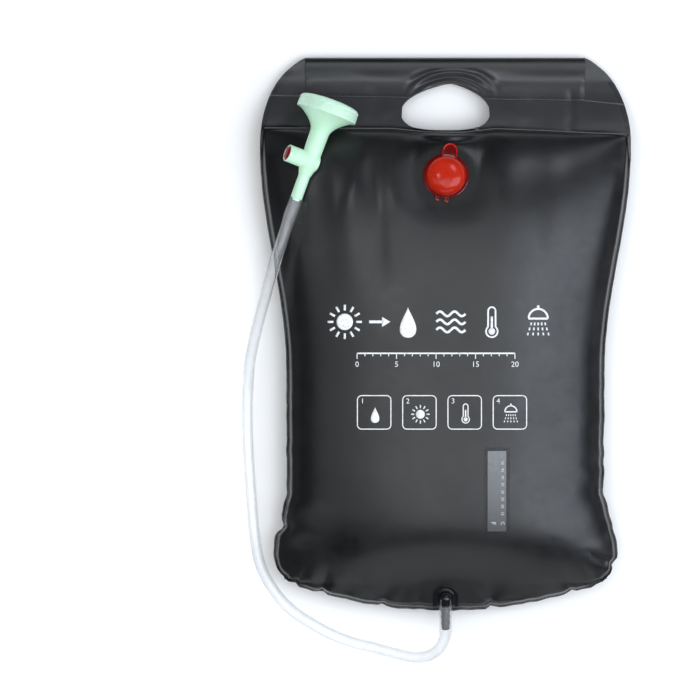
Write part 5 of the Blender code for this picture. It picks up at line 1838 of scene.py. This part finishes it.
def collar_ribs(radius, height, angle):
    """Fine ribs on the collar, deeper towards its back edge, and a slight wave at the rim."""
    if radius <= ROSE_RADIUS - 0.0006:
        return radius
    if -ROSE_COLLAR + 0.0002 < height < RIBS_START:
        depth = RIB_DEPTH * min((-height + RIBS_START) / 0.004, 1.0)
        return radius - depth * (0.5 + 0.5 * cos(COLLAR_RIBS * angle))
    if height > -0.0029:
        return radius + RIM_WAVE * sin(9 * angle) * sin(4 * angle + 1.0) - RIM_WAVE
    return radius


def spray_holes():
    """Rings of six, twelve and eighteen holes round one in the middle, as one set of pins."""
    bm = bmesh.new()
    places = [(0.0, 0.0)]
    for ring in (1, 2, 3):
        angles = [2 * pi * i / (6 * ring) for i in range(6 * ring)]
        places += [(ROSE_HOLE_PITCH * ring * cos(a), ROSE_HOLE_PITCH * ring * sin(a))
                   for a in angles]
    for x, y in places:
        bmesh.ops.create_cone(bm, cap_ends=True, segments=12, radius1=ROSE_HOLE_RADIUS,
                              radius2=ROSE_HOLE_RADIUS, depth=0.016,
                              matrix=Matrix.Translation((x, y, 0.003)))
    return mesh_of("spray_holes", bm), len(places)


hole_pins, hole_count = spray_holes()
rose_mesh = combine("rose", turned("rose_turned", rose_section(), 240, ribs=collar_ribs),
                    [("DIFFERENCE", hole_pins)])
rose = add_piece("rose_fine", crisp_turning(rose_mesh, 35, head_seat), mint_clear)
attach(rose, "bag")
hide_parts("rose_cap")
print(hole_count, "spray holes,", len(rose_mesh.polygons), "faces")

# %% Valve button
SEAL_SECTION = 0.0009
SEAL_ROOM = 0.0003
RING_PLACES = (0.0120, 0.0055)
BUTTON_FACE = VALVE_REACH - BUTTON_RECESS
RIDGE_HALF_WIDTH = 0.0011


def plunger_section():
    face = BUTTON_FACE
    shoulder = face - BUTTON_THICKNESS
    stem = VALVE_BORE - FIT
    channel = stem - 2 * SEAL_SECTION - SEAL_ROOM
    end = -VALVE_BORE_DEPTH + FIT
    points = [(0.0, face - 0.0005), (BUTTON_RADIUS - 0.0018, face - 0.0005),
              (BUTTON_RADIUS - 0.0012, face - 0.0003), (BUTTON_RADIUS - 0.0009, face),
              (BUTTON_RADIUS - 0.0004, face), (BUTTON_RADIUS, face - 0.0004),
              (BUTTON_RADIUS, shoulder + 0.0003), (BUTTON_RADIUS - 0.0003, shoulder),
              (stem, shoulder)]
    half = SEAL_SECTION + SEAL_ROOM
    for at in RING_PLACES:
        points += [(stem, at + half), (channel, at + half), (channel, at - half), (stem, at - half)]
    return points + [(stem, end + 0.0004), (stem - 0.0004, end), (0.0, end)]


def finger_ridge():
    x, y = BUTTON_RADIUS - 0.0020, RIDGE_HALF_WIDTH
    outline = [(-x, -y), (x, -y), (x, y), (-x, y)]
    return plate("finger_ridge", outline, BUTTON_FACE - 0.0010, BUTTON_FACE + 0.0028, 0.0004)


plunger_mesh = combine("plunger", turned("plunger_turned", plunger_section(), 56),
                       [("UNION", finger_ridge())])
plunger_mesh = crisp_turning(plunger_mesh, 40, head_seat @ across_head)
plunger = add_piece("valve_button_fine", plunger_mesh, crimson)
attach(plunger, "valve")
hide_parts("valve_plunger")
print("button faces", len(plunger_mesh.polygons))


# %% [markdown]
# ## Temperature strip
#
# A liquid crystal strip in a clear pocket shows how warm the water is. It is grey, a little bluer
# at its top, with a column of small figures beside a row of windows that light up one after the
# other. The figures are plain numbers and the two unit letters. Everything here is laid on the
# film: a flat drawing is made first, and each of its points is then lifted to the height of the
# film at that place, so the strip bends with the bag.

# %% Laying flat drawings on the film
def film_height_at(places):
    """Height of the folded front film at a list of (x, y)."""
    spots = np.array(places, float)
    z, _, _ = front_surface(spots[:, 0], spots[:, 1])
    return z


def laid_on(mesh, lift):
    """Move every point of a flat drawing to its height over the film, plus its own z and a lift."""
    coordinates = np.empty(len(mesh.vertices) * 3)
    mesh.vertices.foreach_get("co", coordinates)
    coordinates = coordinates.reshape(-1, 3)
    coordinates[:, 2] += film_height_at(coordinates[:, :2]) + lift
    mesh.vertices.foreach_set("co", coordinates.ravel())
    mesh.update()
    return mesh


def sheet_grid(name, xs, ys, rise):
    """A closed thin sheet over a grid of places; rise(x, y) gives its underside and its top."""
    bm = bmesh.new()
    low, high = ([[bm.verts.new((x, y, rise(x, y)[level])) for x in xs] for y in ys]
                 for level in (0, 1))
    last_x, last_y = len(xs) - 1, len(ys) - 1
    for j in range(last_y):
        for i in range(last_x):
            bm.faces.new((low[j][i], low[j + 1][i], low[j + 1][i + 1], low[j][i + 1]))
            bm.faces.new((high[j][i], high[j][i + 1], high[j + 1][i + 1], high[j + 1][i]))
    rim = ([(0, i) for i in range(last_x)] + [(j, last_x) for j in range(last_y)]
           + [(last_y, i) for i in range(last_x, 0, -1)] + [(j, 0) for j in range(last_y, 0, -1)])
    for (j, i), (n, m) in zip(rim, rim[1:] + rim[:1]):
        bm.faces.new((low[j][i], low[n][m], high[n][m], high[j][i]))
    return closed_mesh(name, bm, 50)


print("flat drawings can follow the film")

# %% Strip and pocket
STRIP_X = 0.0547
STRIP_Y = -0.1686
STRIP_WIDTH = 0.0200
STRIP_LENGTH = 0.0865
STRIP_THICKNESS = 0.0004
POCKET_BORDER = 0.0040
POCKET_EDGE_STEPS = (0.0, 0.0006, 0.0011, 0.0014, 0.0017, 0.0022, 0.0026, 0.0030, 0.0034, 0.0038)


def strip_material():
    """Grey plastic that turns a little bluer and lighter towards the top of the strip."""
    strip = moulded("grey_strip", (0.10, 0.105, 0.112), (0.13, 0.135, 0.143), 0.28, grain=0.03)
    place = add_node(strip, "ShaderNodeNewGeometry")
    split = add_node(strip, "ShaderNodeSeparateXYZ")
    link(strip, place, "Position", split, "Vector")
    along = add_node(strip, "ShaderNodeMapRange", From_Min=STRIP_Y - STRIP_LENGTH / 2,
                     From_Max=STRIP_Y + STRIP_LENGTH / 2)
    link(strip, split, "Y", along, "Value")
    tone = two_tones(strip, along, "Result", (0.085, 0.088, 0.093), (0.235, 0.248, 0.265))
    link(strip, tone, "Color", shader_of(strip), "Base Color")
    return strip


def pocket_rise(x, y):
    """Flat and welded at its border, raised over the strip."""
    inward = min(STRIP_WIDTH / 2 + POCKET_BORDER - abs(x - STRIP_X),
                 STRIP_LENGTH / 2 + POCKET_BORDER - abs(y - STRIP_Y))
    puff = float(ease((inward - 0.0022) / 0.0016))
    ridge = 0.0003 * float(np.exp(-((inward - 0.0014) / 0.0005) ** 2))
    low = 0.0002 + 0.0009 * puff
    return low, low + STRIP_THICKNESS + ridge


def edge_steps(half, inner):
    """Places across the pocket, fine over its welded border."""
    *steps, last = POCKET_EDGE_STEPS
    count = int(ceil(2 * (half - last) / inner))
    middle = np.linspace(-half + last, half - last, count + 1)
    return np.concatenate([[-half + s for s in steps], middle, [half - s for s in steps[::-1]]])


strip_xs = np.linspace(STRIP_X - STRIP_WIDTH / 2, STRIP_X + STRIP_WIDTH / 2, 9)
strip_ys = np.linspace(STRIP_Y - STRIP_LENGTH / 2, STRIP_Y + STRIP_LENGTH / 2, 33)
strip_mesh = sheet_grid("strip_fine", strip_xs, strip_ys, lambda x, y: (0.0, STRIP_THICKNESS))
strip = add_piece("strip_fine", laid_on(strip_mesh, 0.0003), strip_material())
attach(strip, "bag")
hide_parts("thermometer_strip")

pocket_xs = STRIP_X + edge_steps(STRIP_WIDTH / 2 + POCKET_BORDER, 0.0030)
pocket_ys = STRIP_Y + edge_steps(STRIP_LENGTH / 2 + POCKET_BORDER, 0.0040)
clear_film = principled("clear_pocket_film", Base_Color=(0.03, 0.03, 0.035), Roughness=0.30,
                        Alpha=0.10, Specular_IOR_Level=0.25)
relief(clear_film, noise(clear_film, Scale=160.0, Detail=4.0), "Fac", 0.05, 0.0001)
pocket_mesh = laid_on(sheet_grid("pocket_fine", pocket_xs, pocket_ys, pocket_rise), 0.0)
pocket = add_piece("pocket_fine", pocket_mesh, clear_film)
pocket.visible_shadow = False
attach(pocket, "bag")
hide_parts("thermometer_window")
print("pocket faces", len(pocket_mesh.polygons))


# %% White ink
INK_THICKNESS = 0.00006
INK_FINEST = 0.004
FIGURE_PITCH = 0.0078
FIGURES_BELOW = 0.0240
LETTERS_BELOW = 0.0345


def ink_material():
    """White ink that is a little worn off in fine speckles."""
    ink = principled("white_ink", Base_Color=(0.78, 0.79, 0.80), Roughness=0.55)
    place = add_node(ink, "ShaderNodeTexCoord")
    speckle = noise(ink, place, Scale=420.0, Detail=5.0, Roughness=0.7)
    worn = two_tones(ink, speckle, "Fac", (0.42, 0.43, 0.45), (0.80, 0.81, 0.82), 0.30, 0.46)
    link(ink, worn, "Color", shader_of(ink), "Base Color")
    return ink


white_ink = ink_material()


def figures(text, height, centre, turn):
    """The outlines of plain figures as a flat mesh, turned about their middle."""
    curve = bpy.data.curves.new("figures", "FONT")
    curve.body = text
    curve.size = height
    curve.align_x = curve.align_y = "CENTER"
    curve.resolution_u = 3
    holder = new_object("figures", curve)
    mesh = settled(holder)
    bpy.data.objects.remove(holder)
    return placed(mesh, Matrix.Translation((*centre, 0)) @ Matrix.Rotation(turn, 4, "Z"))


def ink_sheet(name, meshes, lift, finest):
    """Flat drawings cut into small faces, so that they can follow the film, as a thin layer."""
    bm = bmesh.new()
    for mesh in meshes:
        bm.from_mesh(mesh)
    bmesh.ops.remove_doubles(bm, verts=bm.verts, dist=1e-6)
    bmesh.ops.triangulate(bm, faces=bm.faces)
    for _ in range(6):
        long_edges = [e for e in bm.edges if e.calc_length() > finest]
        if not long_edges:
            break
        bmesh.ops.subdivide_edges(bm, edges=long_edges, cuts=1)
        bmesh.ops.triangulate(bm, faces=bm.faces)
    for face in bm.faces:
        if face.normal.z < 0:
            face.normal_flip()
    piece = add_piece(name, laid_on(mesh_of(name, bm), lift), white_ink)
    layer = piece.modifiers.new("ink_thickness", "SOLIDIFY")
    layer.thickness = INK_THICKNESS
    layer.offset = 1
    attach(piece, "bag")
    return piece


scale_x = STRIP_X + 0.0060
marks = []
for k, number in enumerate(range(15, 55, 5)):
    y = STRIP_Y - FIGURES_BELOW + k * FIGURE_PITCH
    marks.append(figures(str(number), 0.0042, (scale_x, y), -pi / 2))
marks.append(figures("F", 0.0075, (STRIP_X - 0.0040, STRIP_Y - LETTERS_BELOW), -pi / 2))
marks.append(figures("C", 0.0055, (scale_x, STRIP_Y - LETTERS_BELOW), -pi / 2))
strip_figures = ink_sheet("strip_figures", marks, 0.00075, 0.003)
print("figure faces", len(strip_figures.data.polygons))

# %% [markdown]
# ## Printed signs
#
# The front carries white screen printing. Its place is kept, with plain signs of the same weight
# in place of words: the sun, water, warmth, a shower and a pointer in a large row, a level scale
# with numbers under it, and four small steps in frames. Every sign is drawn from strokes and
# discs as a flat mesh, the way a screen print is cut as one flat layer of ink.

# %% Strokes and discs
def flat_mesh(name, points, faces):
    mesh = bpy.data.meshes.new(name)
    mesh.from_pydata([(x, y, 0) for x, y in points], [], faces)
    return mesh


def fan(name, middle, ring):
    """Flat faces round a middle."""
    count = len(ring)
    return flat_mesh(name, [middle] + ring, [(0, 1 + i, 1 + (i + 1) % count) for i in range(count)])


def stroke(points, width, closed=False):
    """A line of even width as a flat ribbon."""
    count = len(points)
    edges = []
    for i, point in enumerate(points):
        before = points[(i - 1) % count] if closed or i else point
        after = points[(i + 1) % count] if closed or i < count - 1 else point
        along = Vector((after[0] - before[0], after[1] - before[1])).normalized()
        normal = Vector((-along.y, along.x)) * width / 2
        edges += [(point[0] + normal.x, point[1] + normal.y),
                  (point[0] - normal.x, point[1] - normal.y)]
    ends = [(2 * i, 2 * ((i + 1) % count)) for i in range(count if closed else count - 1)]
    return flat_mesh("stroke", edges, [(a, a + 1, b + 1, b) for a, b in ends])


def disc(centre, radius, count=28):
    return fan("disc", centre, arc_points(centre, radius, 0, 2 * pi * (1 - 1 / count), count))


def filled(points):
    """An outline, filled by faces round its middle."""
    middle = tuple(sum(axis) / len(points) for axis in zip(*points))
    return fan("filled", middle, points)


print("signs are made of ribbons and fans")


# %% Signs
def sun_sign(x, y, size):
    inner = size * 0.66
    rays = [stroke([(x + cos(a) * inner, y + sin(a) * inner),
                    (x + cos(a) * size, y + sin(a) * size)], size * 0.13)
            for a in np.linspace(0, 2 * pi, 12, endpoint=False)]
    return [disc((x, y), size * 0.48)] + rays


def drop_sign(x, y, size, count=40):
    """A falling drop: a round belly that narrows to a point at its top."""
    points = []
    for a in np.linspace(0, 2 * pi, count, endpoint=False):
        narrow = sin(a / 2) ** 1.6
        points.append((x + size * 0.78 * sin(a) * narrow, y + size * cos(a) - size * 0.1))
    return [filled(points)]


def arrow_sign(x, y):
    head = [(x + 0.014, y + 0.0055), (x + 0.023, y), (x + 0.014, y - 0.0055)]
    return [stroke([(x, y), (x + 0.016, y)], 0.0030), filled(head)]


def wave_sign(x, y, size):
    rows = []
    for row in (-0.55, 0.0, 0.55):
        line = [(x + size * t, y + size * row + size * 0.16 * sin(t * 2 * pi))
                for t in np.linspace(-1, 1, 33)]
        rows.append(stroke(line, size * 0.17))
    return rows


def thermometer_sign(x, y, size):
    tube = arc_points((x, y + size * 0.72), size * 0.24, 0, pi, 13)
    bulb = arc_points((x, y - size * 0.62), size * 0.38, radians(130), radians(410), 25)
    return [stroke(tube + bulb, size * 0.11, closed=True), disc((x, y - size * 0.62), size * 0.22),
            stroke([(x, y - size * 0.5), (x, y + size * 0.35)], size * 0.15)]


def shower_sign(x, y, size):
    rose_arc = arc_points((x, y + size * 0.15), size * 0.62, 0, pi, 21)
    shapes = [stroke(rose_arc + [rose_arc[0]], size * 0.13),
              stroke([(x, y + size * 0.77), (x, y + size)], size * 0.16)]
    for row in range(3):
        top = y - size * (0.10 + 0.32 * row)
        for k in range(-2, 3):
            dx = k * size * (0.22 + 0.05 * row)
            shapes.append(stroke([(x + dx, top), (x + dx * 1.06, top - size * 0.18)], size * 0.10))
    return shapes


def frame_sign(x, y, half, width):
    corner = half * 0.25
    line = []
    for cx, cy, start in ((1, 1, 0), (-1, 1, pi / 2), (-1, -1, pi), (1, -1, 3 * pi / 2)):
        middle = (x + cx * (half - corner), y + cy * (half - corner))
        line += arc_points(middle, corner, start, start + pi / 2, 6)
    return stroke(line, width, closed=True)


print("sun, drop, arrow, waves, thermometer, shower and frame can be drawn")

# %% The printed front
TITLE_PIXEL = (441, 322)
SIGN_SIZE = 0.0165
SCALE_PIXELS = ((357, 357), (514, 357))
SCALE_RISE = 0.004
SCALE_MARKS = 20
STEP_PIXEL = (374, 412)
STEP_PITCH = 45


def title_signs():
    """The large row: sun, arrow, drop, waves, thermometer and shower."""
    x, y = photo_place(*TITLE_PIXEL)
    return (sun_sign(x - 0.104, y, SIGN_SIZE * 1.12) + arrow_sign(x - 0.078, y)
            + drop_sign(x - 0.036, y + 0.001, SIGN_SIZE) + wave_sign(x + 0.010, y, SIGN_SIZE * 0.95)
            + thermometer_sign(x + 0.054, y, SIGN_SIZE)
            + shower_sign(x + 0.104, y + 0.001, SIGN_SIZE * 1.02))


def level_scale():
    """A line with short and long marks, and figures under the long ones."""
    (start, level), (end, _) = (photo_place(*pixel) for pixel in SCALE_PIXELS)
    line_y = level + SCALE_RISE
    signs = [stroke([(start, line_y), (end, line_y)], 0.0016)]
    for k in range(SCALE_MARKS + 1):
        x = start + (end - start) * k / SCALE_MARKS
        drop = 0.0060 if k % 5 == 0 else 0.0032
        signs.append(stroke([(x, line_y), (x, line_y - drop)], 0.0010))
        if k % 5 == 0:
            signs.append(figures(str(k), 0.0085, (x, level - 0.0080), 0))
    return signs


def step_signs():
    """Four numbered frames with a small sign in each."""
    signs = []
    for k in range(4):
        x, y = photo_place(STEP_PIXEL[0] + k * STEP_PITCH, STEP_PIXEL[1])
        signs.append(frame_sign(x, y, 0.0180, 0.0011))
        signs.append(figures(str(k + 1), 0.0080, (x - 0.0125, y + 0.0120), 0))
    x, y = photo_place(*STEP_PIXEL)
    xs = [x + k * STEP_PITCH * PIXEL + 0.001 for k in range(4)]
    return (signs + drop_sign(xs[0], y - 0.002, 0.0085) + sun_sign(xs[1], y - 0.002, 0.0100)
            + thermometer_sign(xs[2], y - 0.001, 0.0105) + shower_sign(xs[3], y - 0.001, 0.0105))


front_print = ink_sheet("front_print", title_signs() + level_scale() + step_signs(), 0.00012,
                        INK_FINEST)
print("print faces", len(front_print.data.polygons))
